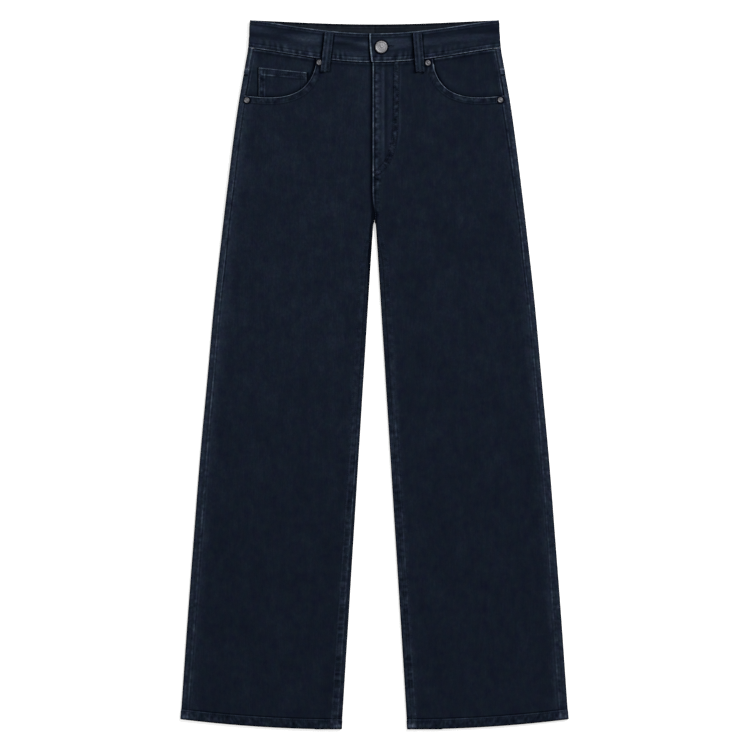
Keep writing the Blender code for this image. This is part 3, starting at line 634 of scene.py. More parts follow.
def sewHem(field, x, down, fromInside, fromSide, seed):
    fromHem = hemEdge(x) - down
    sew(field, fromHem, x + 0.12 * down, 14.5, (hemSewing,), 0.45, 0.1, 0.75, 1.0, seed)
    # painted shade along the hem's folded bottom edge
    field.wear -= 0.6 * bumpMm(fromHem, 0.5, 1.9)
    streak = 0.85 + 0.35 * noiseLine(x, 12 * mm, seed + 40)
    field.wear += 0.5 * bumpMm(fromHem, 13.9, 1.2) * streak
    # painted shadow just above the hem's raised upper edge
    field.wear -= 0.45 * bumpMm(fromHem, 15.8, 1.4)
    corner = 0.6 * bumpMm(fromInside, 1.5, 8) + 0.35 * bumpMm(fromSide, 2, 7)
    field.wear += corner * (bumpMm(fromHem, 5, 5) - 0.5 * bumpMm(fromHem, 18.5, 3.5))


def doubleLine(field, away, centre, run, worn, where, seed):  # a rubbed ridge with a dark line painted on each side as shade beside it
    streak = 0.7 + 0.6 * noiseLine(run, 9 * mm, seed)
    field.wear += where * worn * bump(away, centre, 1.5 * mm) * streak
    field.wear -= where * 0.22 * worn * bumpMm(np.abs(away - centre), 1.9, 1.4)
    field.height += where * 0.25 * mm * bump(away, centre, 1.8 * mm)


def ladder(field, inside, run, where, seed):  # short rungs across a seam's layers, where the thread pulls, lighter where they rise: partly rubbed wear, partly painted shading of the relief
    rungs = noiseLine(run, 3.1 * mm, seed)
    field.wear += where * rungs * mix(0.26, 0.2, rungs > 0) * rampMm(inside, 0, 1.5)
    field.height += where * rungs * 0.12 * mm * rampMm(inside, 0, 1.5)


def shadowAndRidgeUnderBand(field, fromBand, x, seed, ridge):  # the painted shadow line, rubbed ridge and painted shade in the hollow below the waistband
    streak = 0.8 + 0.5 * noiseLine(x, 10 * mm, seed)
    field.wear -= 0.95 * bumpMm(fromBand, 0.7, 1.4)
    field.wear += ridge * bumpMm(fromBand, 2.5, 1.3) * streak
    field.wear -= 0.22 * bumpMm(fromBand, 5.5, 3.0)


def frontFinish(grid, node, left):
    x, down, z = grid[:, :, 0], grid[:, :, 1], grid[:, :, 2]
    field = newField(x.shape)
    look = frontLook
    seed = 3 if left else 4
    word = 2 if left else 1
    fromSide = sideSeam(down) - x
    fromInside = alongRows(x, z, True)
    openingRun, fromOpening, _ = alongLine(x, down, opening)
    fromBand = down - bandFoot(x, 1)
    legs = pastCrotch(down, -4, 20)
    torso = 1 - pastCrotch(down, -20, 10)
    belowPocket = rampMm(down, 112, 124)
    sew(field, fromSide, down, 4.5, (), 0.25, 0.0, 0.4, belowPocket, seed)
    sideLine = lineAt(down, look["sideLine"][0], look["sideLine"][word])
    sideLine += 0.5 * mm * noiseLine(down, 60 * mm, 5)
    faded = 1 - 0.3 * rampMm(down, 480, 760)
    doubleLine(field, fromSide, sideLine, down, 0.42, belowPocket * faded, seed + 20)
    doubleLine(field, fromSide, sideLine + 3.8 * mm, down, 0.12, belowPocket, seed + 21)
    high = 1 - rampMm(down, 330, 450)
    field.wear -= belowPocket * 0.25 * bump(fromSide, sideLine + 2.0 * mm, 1.4 * mm) * high
    rubbed = 0.11 + 0.08 * (rampMm(down, 300, 600) if left else 1)
    field.wear += belowPocket * rubbed * (1 - rampMm(fromSide, 0, 22))
    sew(field, fromInside, down, 9.0, (), 0.25, 0.0, 0.35, legs, seed + 2)
    inseamLine = lineAt(down, look["inseamLine"][0], look["inseamLine"][word])
    showing = legs * rampMm(down, 480, 640)
    waving = 0.4 * mm * noiseLine(down, 50 * mm, 7)
    doubleLine(field, fromInside, inseamLine + waving, down, 0.24, showing, seed + 22)
    ladder(field, inseamLine - fromInside, down, showing, 9)
    field.wear += 0.1 * rampMm(down, 400, 540) * (1 - rampMm(fromInside, 4, 16))
    if not left:
        field.wear += 0.35 * bumpMm(fromInside, 0.3, 1.6) * rampMm(down, 640, 800)
    sew(field, fromOpening, openingRun, 8.8, twinRows, 0.5, 1.0, 0.7, 1.0, seed + 4)
    sew(field, fromBand, x, 5.0, (), 0.2, 0.0, 0.4, 1.0, seed + 6)
    shadowAndRidgeUnderBand(field, fromBand, x, 13, 0.15)
    sewHem(field, x, down, fromInside, fromSide, seed + 8)
    if left:
        finishFly(field, x, down, torso, seed)
    else:
        under = torso * (1 - rampMm(x + leftFrontShown(down), -1, 3))
        field.height *= 1 - under
    # painted shade near the inner edge just above the crotch
    field.wear -= 0.45 * (1 - rampMm(fromInside, 0, 7)) * bump(down, cut["crotch"] - 14 * mm, 22 * mm)
    field.wear -= mix(0.03 * left, 0.06, rampMm(down, 400, 800))
    field.height += creaseHeight(x, down, creases[node])
    field.height += 0.2 * mm * noiseSheet(x, down, 55 * mm, 31 + left) * rampMm(fromBand, 4, 30)
    return shaped(x, down, z, field, seed)


def finishFly(field, x, down, torso, seed):
    run, away, turn = alongLine(x, down, flyStitch)
    onFly = (down < 236 * mm) & (turn > 0)
    sew(field, np.where(onFly, away, 1), run, 7.4, (0.2, 7.4), 0.4, 0.1, 1.0, 1.0, seed + 10)
    fromEdge = x - leftFrontShown(down)
    sew(field, fromEdge, down, 10.5, (), 0.35, 0.0, 0.8, torso, seed + 12)
    field.wear -= 0.35 * bumpMm(away, 0, 1.3) * (down < 236 * mm)
    shown = 1 - rampMm(down, 262, 280)
    streak = 0.85 + 0.3 * noiseLine(down, 11 * mm, seed)
    field.wear += shown * 0.95 * bumpMm(fromEdge, 1.2, 2.1) * streak
    field.wear -= shown * 0.9 * bumpMm(fromEdge, 3.4, 1.2)
    places, tones = np.array(frontLook["flyTone"]).T
    tone = np.interp(x, places * mm, tones)
    within = np.where((turn > 0) & (down < 232 * mm) | (away < 4 * mm), 1.0, 0.0)
    along = rampMm(down, 62, 78) * (1 - 0.75 * rampMm(down, 172, 205))
    # the fly's stripes rise where they are lighter: partly rubbed wear, partly painted shading of the relief
    field.wear += within * (tone * (0.35 + 0.8 * along) - 0.03)
    field.height += 0.3 * mm * tone * within
    tack = bumpMm(x, 4, 9) * bumpMm(down, 240, 15)
    field.strength = np.maximum(field.strength, 1.3 * tack)
    field.wear += 0.25 * noiseSheet(x, down, 2.6 * mm, seed + 16) * tack


fronts = (("left", 1, leftFrontShown, topHeight), ("right", -1, rightFrontEdge, rightFrontTop))
for word, side, edge, topOf in fronts:
    node = f"front_{word}"
    grid = frontGrid(edge, topOf, frontLook[f"{word}Steps"], frontLook)
    addSheet(node, frontFinish(grid, node, side > 0), cut["denim"], side, foldedRows)
print("fronts made")

# backs and yokes

backLook = {"rowStep": 2.4 * mm, "innerColumns": 22, "bottomColumns": 32, "foldSteps": 10, "topColumns": 9,
            "recess": 0.35 * mm, "yokeRows": 20, "ridge": ((3.0, 2.2, 0.3, -0.6), (4.1, 4.1, 3.9, 2.6))}


def wrapSection(down, under, over, innerX, bottomCount, topCount, endX, foldSteps):
    # under the garment from innerX, round the side fold, and over the top to endX: x, z, share of the way up
    radius = (over - under) / 2
    foldX = outerEdge(down) - radius
    turn = np.radians(-90 + 180 / foldSteps * np.arange(1, foldSteps + 1))
    x = np.concatenate([np.linspace(innerX, foldX, bottomCount), foldX + radius * np.cos(turn),
                        np.linspace(foldX, endX, topCount + 1)[1:]])
    z = np.concatenate([np.full(bottomCount, under), under + radius * (1 + np.sin(turn)),
                        np.full(topCount, over)])
    share = np.concatenate([np.zeros(bottomCount), np.arange(1, foldSteps + 1) / foldSteps,
                            np.ones(topCount)])
    return np.stack([x, z, share])


def backGrid(look):
    levels = np.arange(cut["yokeSide"] + cut["gap"] / 2, cut["hemSide"], look["rowStep"])
    levels = np.append(levels[levels < cut["hemSide"] - cut["hemDepth"] - 4.4 * mm], hemRows)
    rows = []
    for level in levels:
        under = lift(level)
        over = under + foldHeight(level)
        inside = level + cut["hemDrop"] * hemShare(level)
        first = 0.4 * mm - inseamPlace(inside)
        radius = foldHeight(inside) / 2
        last = math.pi / 2 * radius + 5 * mm
        share = torsoShare(level)
        distances = np.linspace(first, last, look["innerColumns"])
        tubeX, tubeZ = inseamCurve(inside, distances)
        way = (1 - np.sin(np.clip(distances / radius, -math.pi / 2, math.pi / 2))) / 2
        endX = tubeX[-1]
        flatX = np.linspace(0, endX, look["innerColumns"])
        inner = np.stack([mix(tubeX, flatX, share), under + tubeZ * (1 - share), way * (1 - share)])
        rest = wrapSection(level, under, over, endX, look["bottomColumns"], look["topColumns"],
                           outerEdge(level) - cut["inset"], look["foldSteps"])[:, 1:]
        x, z, wayUp = np.concatenate([inner, rest], axis=1)
        yokeShare = 1 - ramp(level, cut["yokeSide"], 262 * mm)
        down = level + yokeShare * (yokeSeam(x, wayUp) - cut["yokeSide"])
        down = down + cut["hemDrop"] * hemShare(level) * hemCurve(x, level)
        rows.append(np.stack([x, down, z - lift(level) + lift(down), wayUp], axis=1))
    return np.array(rows)


def sideStrip(field, fromSide, down, atEdge, seed):  # the strip of the back that shows beside the front
    doubleLine(field, fromSide, 2.8 * mm, down, 0.15, 1.0, seed)
    streak = 0.75 + 0.5 * noiseLine(down, 9 * mm, seed + 1)
    field.wear += atEdge * bumpMm(fromSide, 0.3, 1.6) * streak
    field.wear += 0.16 * pressedBand(fromSide, 6.5 * mm, 2 * mm) + 0.1 * bumpMm(fromSide, 0, 1.4)


def backFinish(grid, node, left):
    x, down, z, wayUp = grid.transpose(2, 0, 1)
    field = newField(x.shape)
    seed = 61 if left else 62
    fromSide = alongRows(x, z, True)
    fromInside = alongRows(x, z, False)
    legs = pastCrotch(down, -4, 20)
    below = 1 - ramp(wayUp, 0.1, 0.9)
    field.height -= below * backLook["recess"]
    sew(field, fromSide, down, 4.5, (), 0.2, 0.0, 0.35, 1.0, seed)
    atEdge = (0.0 if left else 0.22) * (1 - rampMm(down, 330, 480))
    sideStrip(field, fromSide, down, atEdge, seed + 20)
    sew(field, fromInside, down, 4.5, (), 0.12, 0.0, 0.35, legs, seed + 2)
    ridge = lineAt(down, (500, 636, 813, 961), backLook["ridge"][left])
    showing = legs * rampMm(down, 480, 640)
    doubleLine(field, fromInside, ridge, down, 0.2 if left else 0.45, showing, seed + 22)
    field.wear += showing * 0.08 * pressedBand(fromInside, 5 * mm, 2 * mm)
    field.wear += showing * 0.2 * bumpMm(fromInside, 0, 1.4)
    ladder(field, np.minimum(ridge - fromInside, 6 * mm), down, showing, 9)
    if left:
        field.wear += 0.26 * bumpMm(fromSide, 0.8, 2.4) * (1 - rampMm(down, 106, 124))
    fromYoke = down - yokeSeam(x, wayUp)
    sew(field, fromYoke, x, 8.8, twinRows, 0.35, 0.7, 0.6, 1.0, seed + 4)
    showingYoke = ramp(wayUp, 0.6, 0.9) * (fromSide < 7 * mm)
    # the last, negative entry is a painted shadow just past the yoke seam's raised layers
    for strength, place, width in ((0.4, 1.0, 1.8), (0.4, 7.4, 1.8), (0.15, 4, 5), (-0.6, 9.8, 1.6)):
        field.wear += showingYoke * strength * bump(fromYoke, place * mm, width * mm)
    if left:
        sew(field, fromInside, down, 8.8, twinRows, 0.35, 0.8, 0.7, 1 - pastCrotch(down, -24, 0), seed + 6)
    sewHem(field, x, down, fromInside, fromSide, seed + 8)
    field.wear -= 0.06 * rampMm(down, 400, 800)
    field.height += creaseHeight(x, down, creases[node]) * below
    field.height += 0.12 * mm * (noiseSheet(x, down, 50 * mm, seed) - 1) * below
    return shaped(x, down, z, field, seed)


def yokeGrid(look):
    rows = []
    for share in np.linspace(0, 1, look["yokeRows"]):
        level = mix(cut["bandHeight"] + cut["gap"], cut["yokeSide"] - cut["gap"] / 2, share)
        under = lift(level)
        x, z, wayUp = wrapSection(level, under, under + foldHeight(level), 0, 50, look["topColumns"],
                                  outerEdge(level) - cut["inset"], look["foldSteps"])
        down = mix(bandFoot(x, wayUp) + cut["gap"], yokeSeam(x, wayUp) - cut["gap"] / 2, share)
        rows.append(np.stack([x, down, z - lift(level) + lift(down), wayUp], axis=1))
    return np.array(rows)


def yokeFinish(grid, left):
    x, down, z, wayUp = grid.transpose(2, 0, 1)
    field = newField(x.shape)
    seed = 81 if left else 82
    sew(field, down - bandFoot(x, wayUp), x, 5.0, (), 0.2, 0.3, 0.5, 1.0, seed)
    fromSide = alongRows(x, z, True)
    sew(field, fromSide, down, 4.5, (), 0.2, 0.0, 0.1, 1.0, seed + 2)
    sideStrip(field, fromSide, down, 0.2, seed + 20)
    field.wear += (0.25 if left else 0.38) * bump(fromSide, 1.4 * mm, (2.4 if left else 1.8) * mm)
    sew(field, yokeSeam(x, wayUp) - down, x, 3.0, (), 0.0, 0.4, 0.5, 1.0, seed + 4)
    if left:
        sew(field, alongRows(x, z, False), down, 8.8, twinRows, 0.35, 0.8, 0.6, 1.0, seed + 6)
    return shaped(x, down, z, field, seed)


for word, side in (("left", 1), ("right", -1)):
    node = f"back_{word}"
    addSheet(node, backFinish(backGrid(backLook), node, side > 0), cut["denim"], side, foldedRows)
    addSheet(f"yoke_{word}", yokeFinish(yokeGrid(backLook), side > 0), cut["denim"], side)
print("backs and yokes made")

# waistband

bandLook = {"rows": 30, "bottomColumns": 56, "foldSteps": 10, "firstTop": 177 * mm, "columnStep": 1.5 * mm,
            "endSteps": (4.6, 3.2, 2.1, 1.3, 0.7, 0.3, 0.0), "holeRight": 28.6 * mm, "holeLeft": 8.6 * mm,
            "holeTop": 0.44, "holeFoot": 0.47, "fuller": 0.8 * mm}


def bandUnder(down):
    return lift(down) - (cut["bandWall"] - cut["denim"]) / 2


def bandOver(down):
    return lift(down) + cut["hipHeight"] + (cut["bandWall"] - cut["denim"]) / 2


def leftBandTop(x, down):
    return bandOver(down) + 0.6 * mm * (1 - rampMm(x, 34, 62))


def rightBandTop(x, down):
    lapped = bandUnder(down) + 2 * cut["bandWall"] + cut["gap"]
    return mix(bandOver(down), lapped, 1 - rampMm(x, 8, 26))


def leftBandEnd(share):
    return mix(-7.5, -4.2, share ** 2) * mm


def rightBandEnd(share):
    return -cut["bandLap"]


def bandGrid(endAt, topOf, hole, look):
    shares = np.linspace(0, 1, look["rows"])
    edges = np.array([0.008, 0.018, 0.03, 0.045, 0.06, 0.08])
    shares = np.unique(np.concatenate([shares, edges, 1 - edges, [look["holeTop"], look["holeFoot"]]]))
    mid = endAt(0.5) + look["endSteps"][0] * mm
    middle = np.arange(look["firstTop"], mid + 2 * mm, -look["columnStep"])
    if hole:
        middle = np.unique(np.concatenate([middle, [look["holeRight"], look["holeLeft"]]]))[::-1]
    rows = []
    for share in shares:
        level = cut["bandHeight"] * share
        x, z, wayUp = wrapSection(level, bandUnder(level), bandOver(level), 0, look["bottomColumns"], 1,
                                  look["firstTop"] + 1 * mm, look["foldSteps"])
        top = np.concatenate([middle, endAt(share) + np.array(look["endSteps"]) * mm])
        x = np.concatenate([x, top])
        z = np.concatenate([z, topOf(top, level)])
        wayUp = np.concatenate([wayUp, np.ones(len(top))])
        down = level + bandTop(x, wayUp) - waistDip(x) * look["fuller"] * (1 - share)
        rows.append(np.stack([x, down, z, wayUp, np.full_like(x, share)], axis=1))
    grid = np.array(rows)
    openCells = None
    if hole:
        onTop = grid[0, :-1, 3] == 1
        across = onTop & (grid[0, :-1, 0] <= look["holeRight"] + 1e-6)
        across = across & (grid[0, 1:, 0] >= look["holeLeft"] - 1e-6)
        downward = (shares[:-1] >= look["holeTop"] - 1e-6) & (shares[1:] <= look["holeFoot"] + 1e-6)
        openCells = downward[:, None] & across[None, :]
    return grid, openCells


def bandFinish(grid, left):
    x, down, z, wayUp, share = grid.transpose(2, 0, 1)
    field = newField(x.shape)
    seed = 101 if left else 102
    fromTop, fromFoot = share * cut["bandHeight"], (1 - share) * cut["bandHeight"]
    fromEnd = alongRows(x, z, True)
    sew(field, fromTop, x + 2 * wayUp, 5.0, (2.6,), 0.0, 0.95, 0.35, 1.0, seed)
    sew(field, fromFoot, x + 3 * wayUp, 6.0, (2.2,), 0.1, 0.95, 0.7, 1.0, seed + 2)
    if left:
        sew(field, fromEnd, down, 5.0, (), 0.1, 0.0, 0.4, 1.0, seed + 4)
        field.wear += 1.2 * bumpMm(fromEnd, 0.9, 2.0) * (0.85 + 0.3 * noiseLine(down, 9 * mm, seed))
        field.wear += 0.8 * bumpMm(fromEnd, 1.0, 2.6) * bumpMm(fromTop, 1.5, 3)
        field.wear -= 0.5 * bumpMm(fromEnd, 3.4, 1.2)
    patches = ramp(noiseSheet(x, down, 26 * mm, seed + 5), -1.2, 0.6)
    lower = bump(share, 0.84, 0.26)
    gathers = np.sin(math.tau * (x + 0.1 * down) / (9.5 * mm) + 3.2 * noiseLine(x, 20 * mm, seed + 6))
    gathers = gathers * (0.5 + 0.5 * noiseLine(x, 11 * mm, seed + 8))
    # gathers and rolls are drawn lighter where they rise: partly rubbed wear, partly painted shading of the
    # relief
    field.height += 0.35 * mm * gathers * patches * lower
    field.wear += (0.42 if left else 0.36) * gathers * patches * lower
    field.wear += (0.06 if left else 0.15) * bump(share, 0.78, 0.3)
    rolls = noiseSheet(0.5 * x + down, down * 3.4, 20 * mm, seed + 7)
    field.wear += 0.42 * rolls * bump(share, 0.38, 0.36)
    field.height += 0.4 * mm * rolls * bump(share, 0.45, 0.4)
    field.wear -= (wayUp < 0.5) * 0.7 * bumpMm(fromTop, 0.5, 2.4)
    return shaped(x, down, z, field, seed)


bands = (("left", 1, leftBandEnd, leftBandTop), ("right", -1, rightBandEnd, rightBandTop))
for word, side, endAt, topOf in bands:
    grid, openCells = bandGrid(endAt, topOf, side > 0, bandLook)
    addSheet(f"waistband_{word}", bandFinish(grid, side > 0), cut["bandWall"], side, openCells=openCells,
             turned=True, reverse=denimReverse)
print("waistband made")

# pocket facings, coin pocket, fly shield

pocketLook = {"hidden": 12 * mm, "coinHidden": 8 * mm, "coinOuter": 171 * mm, "coinInner": 101 * mm,
              "coinTopOuter": 70.4 * mm, "coinTopInner": 77.6 * mm, "cloth": 1.0 * mm,
              "deepLeft": 1.6 * mm, "deepRight": 2.8 * mm, "shieldWide": 40 * mm, "shieldLong": 145 * mm}


def offsetLine(line, distance):  # the line moved to its left, as seen along it with down at the bottom
    slope = np.gradient(line, axis=0)
    slope /= np.linalg.norm(slope, axis=1, keepdims=True)
    return line + distance * np.stack([-slope[:, 1], slope[:, 0]], axis=1)


def facingDepth(x, down, deep):
    toSide = outerEdge(down) - cut["inset"] - x
    toBand = down - bandFoot(x, 1)
    sunk = cut["lapDepth"] + 0.1 * mm
    sideDepth = mix(cut["gap"], sunk, rampMm(down, 82, 104))
    bandDepth = mix(cut["gap"], sunk, 1 - rampMm(x, 92, 108))
    depth = mix(sideDepth, deep, rampMm(toSide, 0, 15))
    return mix(np.minimum(bandDepth, depth), depth, rampMm(toBand, 0, 15))


def facingGrid(deep, look):
    count = 81
    marks = smoothLine(pocketOpening, count)
    curve = offsetLine(marks, look["hidden"])
    curve[0, 1] = bandFoot(curve[0, 0], 1) + cut["gap"]
    cornerDown = cut["bandHeight"] + cut["gap"]
    cornerX = sideSeam(cornerDown)
    low = curve[-1, 1]
    share = np.linspace(0, 1, count)
    bandX = mix(curve[0, 0] + 6 * mm, cornerX, share * 2)
    sideDown = mix(cornerDown, low, share * 2 - 1) + bandTop(cornerX, 1) * (2 - share * 2)
    edge = np.where((share < 0.5)[:, None], np.stack([bandX, bandFoot(bandX, 1) + cut["gap"]], axis=1),
                    np.stack([sideSeam(sideDown), sideDown], axis=1))
    curve[-1] = edge[-1, 0] - 3 * mm, low + 4 * mm
    rows = []
    for part in 1 - np.linspace(1, 0, 72) ** 1.25:
        x, down = mix(curve[:, 0], edge[:, 0], part), mix(curve[:, 1], edge[:, 1], part)
        rows.append(np.stack([x, down, topHeight(x, down) - facingDepth(x, down, deep)], axis=1))
    return np.array(rows)


def facingFinish(grid, left):
    x, down, z = grid.transpose(2, 0, 1)
    field = newField(x.shape)
    seed = 121 if left else 122
    fromSide = sideSeam(down) - x
    fromBand = down - bandFoot(x, 1)
    sew(field, fromSide, down, 4.5, (), 0.1, 0.0, 0.3, 1.0, seed)
    below = rampMm(down, 66, 78)
    doubleLine(field, fromSide, (3.0 if left else 0.0) * mm, down, 0.5, 1.0 if left else below, seed + 20)
    doubleLine(field, fromSide, (5.4 if left else 4.0) * mm, down, 0.2, 1.0, seed + 21)
    field.wear -= (0.1 if left else 0.3) * bump(fromSide, (4.8 if left else 1.8) * mm, 1.4 * mm) * below
    sew(field, fromBand, x, 5.0, (), 0.1, 0.0, 0.4, 1.0, seed + 2)
    shadowAndRidgeUnderBand(field, fromBand, x, seed + 13, 0.5)
    field.wear += (-0.04 if left else 0.02) + 0.14 * bumpMm(fromSide, 2, 10) * (1 - 0.6 * below)
    # painted shadow under the front's cut edge along the pocket opening
    field.wear -= 0.2 * (1 - rampMm(alongLine(x, down, opening)[1], 0, 9))
    field.height += 0.15 * mm * (noiseSheet(x, down, 24 * mm, seed + 4) - 0.5)
    return shaped(x, down, z, field, seed)


def coinTop(x):  # how far down the coin pocket's upper edge is
    look = pocketLook
    return np.interp(x, (look["coinInner"], look["coinOuter"]), (look["coinTopInner"], look["coinTopOuter"]))


def coinGrid(look):
    foot = offsetLine(smoothLine(pocketOpening, 61), look["coinHidden"])
    x = np.linspace(look["coinOuter"], look["coinInner"], 64)
    bottom = np.interp(x, foot[:, 0], foot[:, 1])
    rows = []
    for part in np.concatenate([[0, 0.006, 0.015, 0.03], np.linspace(0.05, 1, 28)]):
        down = mix(coinTop(x), bottom, part)
        rows.append(np.stack([x, down, topHeight(x, down) - cut["lapDepth"]], axis=1))
    return np.array(rows)


def coinFinish(grid, look):
    x, down, z = grid.transpose(2, 0, 1)
    field = newField(x.shape)
    top = coinTop(x)
    sew(field, down - top, x, 8.5, (1.6, 7.2), 0.3, 0.95, 0.6, 1.0, 131)
    sew(field, look["coinOuter"] - x, down, 7.5, (1.4, 6.2), 0.2, 0.85, 0.9, 1.0, 133)
    sew(field, x - look["coinInner"], down, 7.5, (1.4, 6.2), 0.2, 0.7, 0.9, 1.0, 135)
    within = rampMm(look["coinOuter"] - x, 0, 4)
    doubleLine(field, down - top, 9.4 * mm, x, 0.95, within, 137)
    doubleLine(field, look["coinOuter"] - x, 8.6 * mm, down, 0.7, rampMm(down - top, 0, 4), 138)
    # painted shadow under the front's cut edge along the pocket opening
    field.wear -= 0.3 * (1 - rampMm(alongLine(x, down, opening)[1], 0, 8))
    return shaped(x, down, z, field, 131)


def shieldGrid(width, length):
    start = -6 * mm
    top = bandFoot(start + width, 1) + 2.5 * mm
    rows = []
    for level in np.linspace(top, top + length, 50):
        toGo = min((top + length - level) / (24 * mm), 1.0)
        wide = width * (0.35 + 0.65 * math.sqrt(toGo * (2 - toGo)))
        x = np.linspace(start + wide, start, 14)
        rows.append(np.stack([x, np.full_like(x, level), topHeight(x, level) - 2 * cut["lapDepth"]], axis=1))
    return np.array(rows)


def plainFinish(grid, seed):
    x, down, z = grid.transpose(2, 0, 1)
    field = newField(x.shape)
    sew(field, alongRows(x, z, True), down, 4.0, (1.6,), 0.0, 0.3, 0.3, 1.0, seed)
    sew(field, alongRows(x, z, False), down, 4.0, (1.6,), 0.0, 0.3, 0.3, 1.0, seed + 1)
    return shaped(x, down, z, field, seed)


for word, side in (("left", 1), ("right", -1)):
    grid = facingGrid(pocketLook[f"deep{word.title()}"], pocketLook)
    finished = facingFinish(grid, side > 0)
    addSheet(f"pocket_facing_{word}", finished, pocketLook["cloth"], side)
addSheet("coin_pocket", coinFinish(coinGrid(pocketLook), pocketLook), pocketLook["cloth"], -1)
grid = shieldGrid(pocketLook["shieldWide"], pocketLook["shieldLong"])
addSheet("fly_shield", plainFinish(grid, 141), cut["denim"])
print("facings, coin pocket and fly shield made")

# belt loops and back pockets

loopLook = {"width": 12.8 * mm, "belowBand": 19 * mm, "arch": 1.5 * mm, "wall": 1.2 * mm, "columns": 15,
            "rows": 44, "clear": 0.16 * mm}
frontLoops = {"belt_loop_front_right": (-66.7 * mm, -73.4 * mm),  # x at the top and at the foot
              "belt_loop_front_left": (63.1 * mm, 67.6 * mm)}
backLoops = {"belt_loop_back_right": (-112 * mm, -115 * mm), "belt_loop_back_centre": (0.0, 0.0),
             "belt_loop_back_left": (112 * mm, 115 * mm)}
backPocket = np.array([  # x at the top and foot, how far down each is, from the inner to the outer edge
    (30, 37, 118, 233), (64, 69, 115.5, 246), (98, 101, 113, 256), (132, 131, 110.5, 242),
    (165, 161, 108, 226)]) * mm


def addStrap(node, topX, footX, topDown, footDown, heightAt, facing, seed):  # facing: 1 up, -1 to the floor
    share = np.linspace(0, 1, loopLook["rows"])[:, None]
    half = loopLook["width"] / 2
    offset = np.linspace(1, -1, loopLook["columns"]) * half + 0 * share
    x = mix(topX, footX, share) + facing * offset
    down = mix(topDown, footDown, share) + 0 * offset
    field = newField(x.shape)
    for turn in (1, -1):
        sew(field, half - turn * offset, down + turn, 3.4, (3.2,), 0.16, 0.35, 0.6, 1.0, seed + turn)
    field.wear += 0.14 + 0.2 * bumpMm(offset, 0.3, 2.4) - 0.2 * rampMm(offset, 2, 4)
    field.height -= 0.1 * mm * bumpMm(offset, 0, 2.6)
    addSheet(node, shaped(x, down, heightAt(share, down), field, seed), loopLook["wall"])


for number, (node, (topX, footX)) in enumerate(frontLoops.items()):
    seam = bandFoot(footX, 1)
    footDown = seam + loopLook["belowBand"]

    def frontLoopHeight(share, down):
        seat = mix(bandOver(0), topHeight(footX, footDown), ramp(down, seam + 1 * mm, footDown - 3 * mm))
        arch = loopLook["arch"] * np.sin(math.pi * np.minimum(share / 0.86, 1.0)) ** 0.8
        return seat + cut["gap"] + loopLook["wall"] + arch

    addStrap(node, topX, footX, bandTop(topX, 1) + 0.5 * mm, footDown, frontLoopHeight, 1, 151 + 4 * number)

for number, (node, (topX, footX)) in enumerate(backLoops.items()):
    addStrap(node, topX, footX, bandTop(topX, 0) + 0.5 * mm, bandFoot(footX, 0) + loopLook["belowBand"],
             lambda share, down: 0 * down + loopLook["clear"], -1, 171 + 4 * number)


def pocketEdges(count):  # x and down of the back pocket's upper and lower edges, from the inside out
    order, knots = np.linspace(0, 1, count), np.linspace(0, 1, len(backPocket))
    return [np.interp(order, knots, column) for column in backPocket.T]


for word, side in (("left", 1), ("right", -1)):
    topX, footX, top, foot = pocketEdges(50)
    share = np.linspace(0, 1, 56)[:, None]
    x, down = mix(topX, footX, share), mix(top, foot, share)
    field = newField(x.shape)
    seed = 191 if side > 0 else 195
    sew(field, down - top, x, 14.0, (1.6, 12.6), 0.0, 0.6, 0.45, 1.0, seed)
    for away, run in ((x - x[:, :1], down), (x[:, -1:] - x, down + 1), (foot - down, x + 1)):
        sew(field, away, run, 8.0, (1.6, 7.0), 0.0, 0.55, 0.6, 1.0, seed + 1)
    field.height -= 0.12 * mm * (1 + noiseSheet(x, down, 40 * mm, seed + 2)) * (field.strength < 0.05)
    finished = shaped(x, down, np.full_like(x, loopLook["clear"]), field, seed)
    addSheet(f"back_pocket_{word}", finished, cut["denim"], side)
print("loops and back pockets made", len(sheets), "sheets")

# painted shadows: the dark lines that raised edges cast on the cloth below them

def shadeCloth(nodes, amount):  # amount(x, down) is a painted shadow, taken off the wear value of the upper layers
    for node in nodes:
        mesh = sheets[node].data
        x, y, z = pointsOf(mesh).T
        down = cut["length"] / 2 - y
        worn = np.zeros(len(mesh.vertices))
        mesh.attributes["wear"].data.foreach_get("value", worn)
        worn -= amount(x, down) * (z > lift(down) + 2.6 * mm)
        mesh.attributes["wear"].data.foreach_set("value", worn.astype(np.float32))


def shadowBesideLoops(x, down):
    shade = np.zeros(x.shape)
    half = loopLook["width"] / 2
    for topX, footX in frontLoops.values():
        start, end = bandTop(topX, 1), bandFoot(footX, 1) + loopLook["belowBand"]
        share = (down - start) / (end - start)
        offset = x - mix(topX, footX, share)
        streak = 0.8 + 0.5 * noiseLine(down, 7 * mm, 41)
        beside = (1.2 * bump(offset, -half - 1.2 * mm, 2.8 * mm) + 0.4 * bump(offset, -half, 9 * mm)) * streak
        beside = beside + 1.1 * bump(offset, half + 0.8 * mm, 2.0 * mm) * streak
        shade += np.where((share > 0.02) & (share < 1.02), beside, 0)
        shade += np.where(np.abs(offset) < half, 1.0, 0) * bump(down, end + 0.8 * mm, 1.6 * mm)
    return shade


def shadowInsideOpening(x, down):
    run, away, _ = alongLine(np.abs(x), down, opening)
    steep = ramp(run / openingLength, 0.45, 0.85)
    width = mix(1.7, 4.8 - 1.4 * (x > 0), steep) * mm
    return mix(0.55, 1.5 - 0.5 * (x > 0), steep) * bump(away, 0.3 * mm, width)


def shadowBesideFly(x, down):
    away = leftFrontShown(down) - x
    shade = 1.3 * bumpMm(away, 1.0, 2.0) + 0.4 * bumpMm(away, 1, 6)
    return (1 - pastCrotch(down, -40, 0)) * shade * (away > -2 * mm)


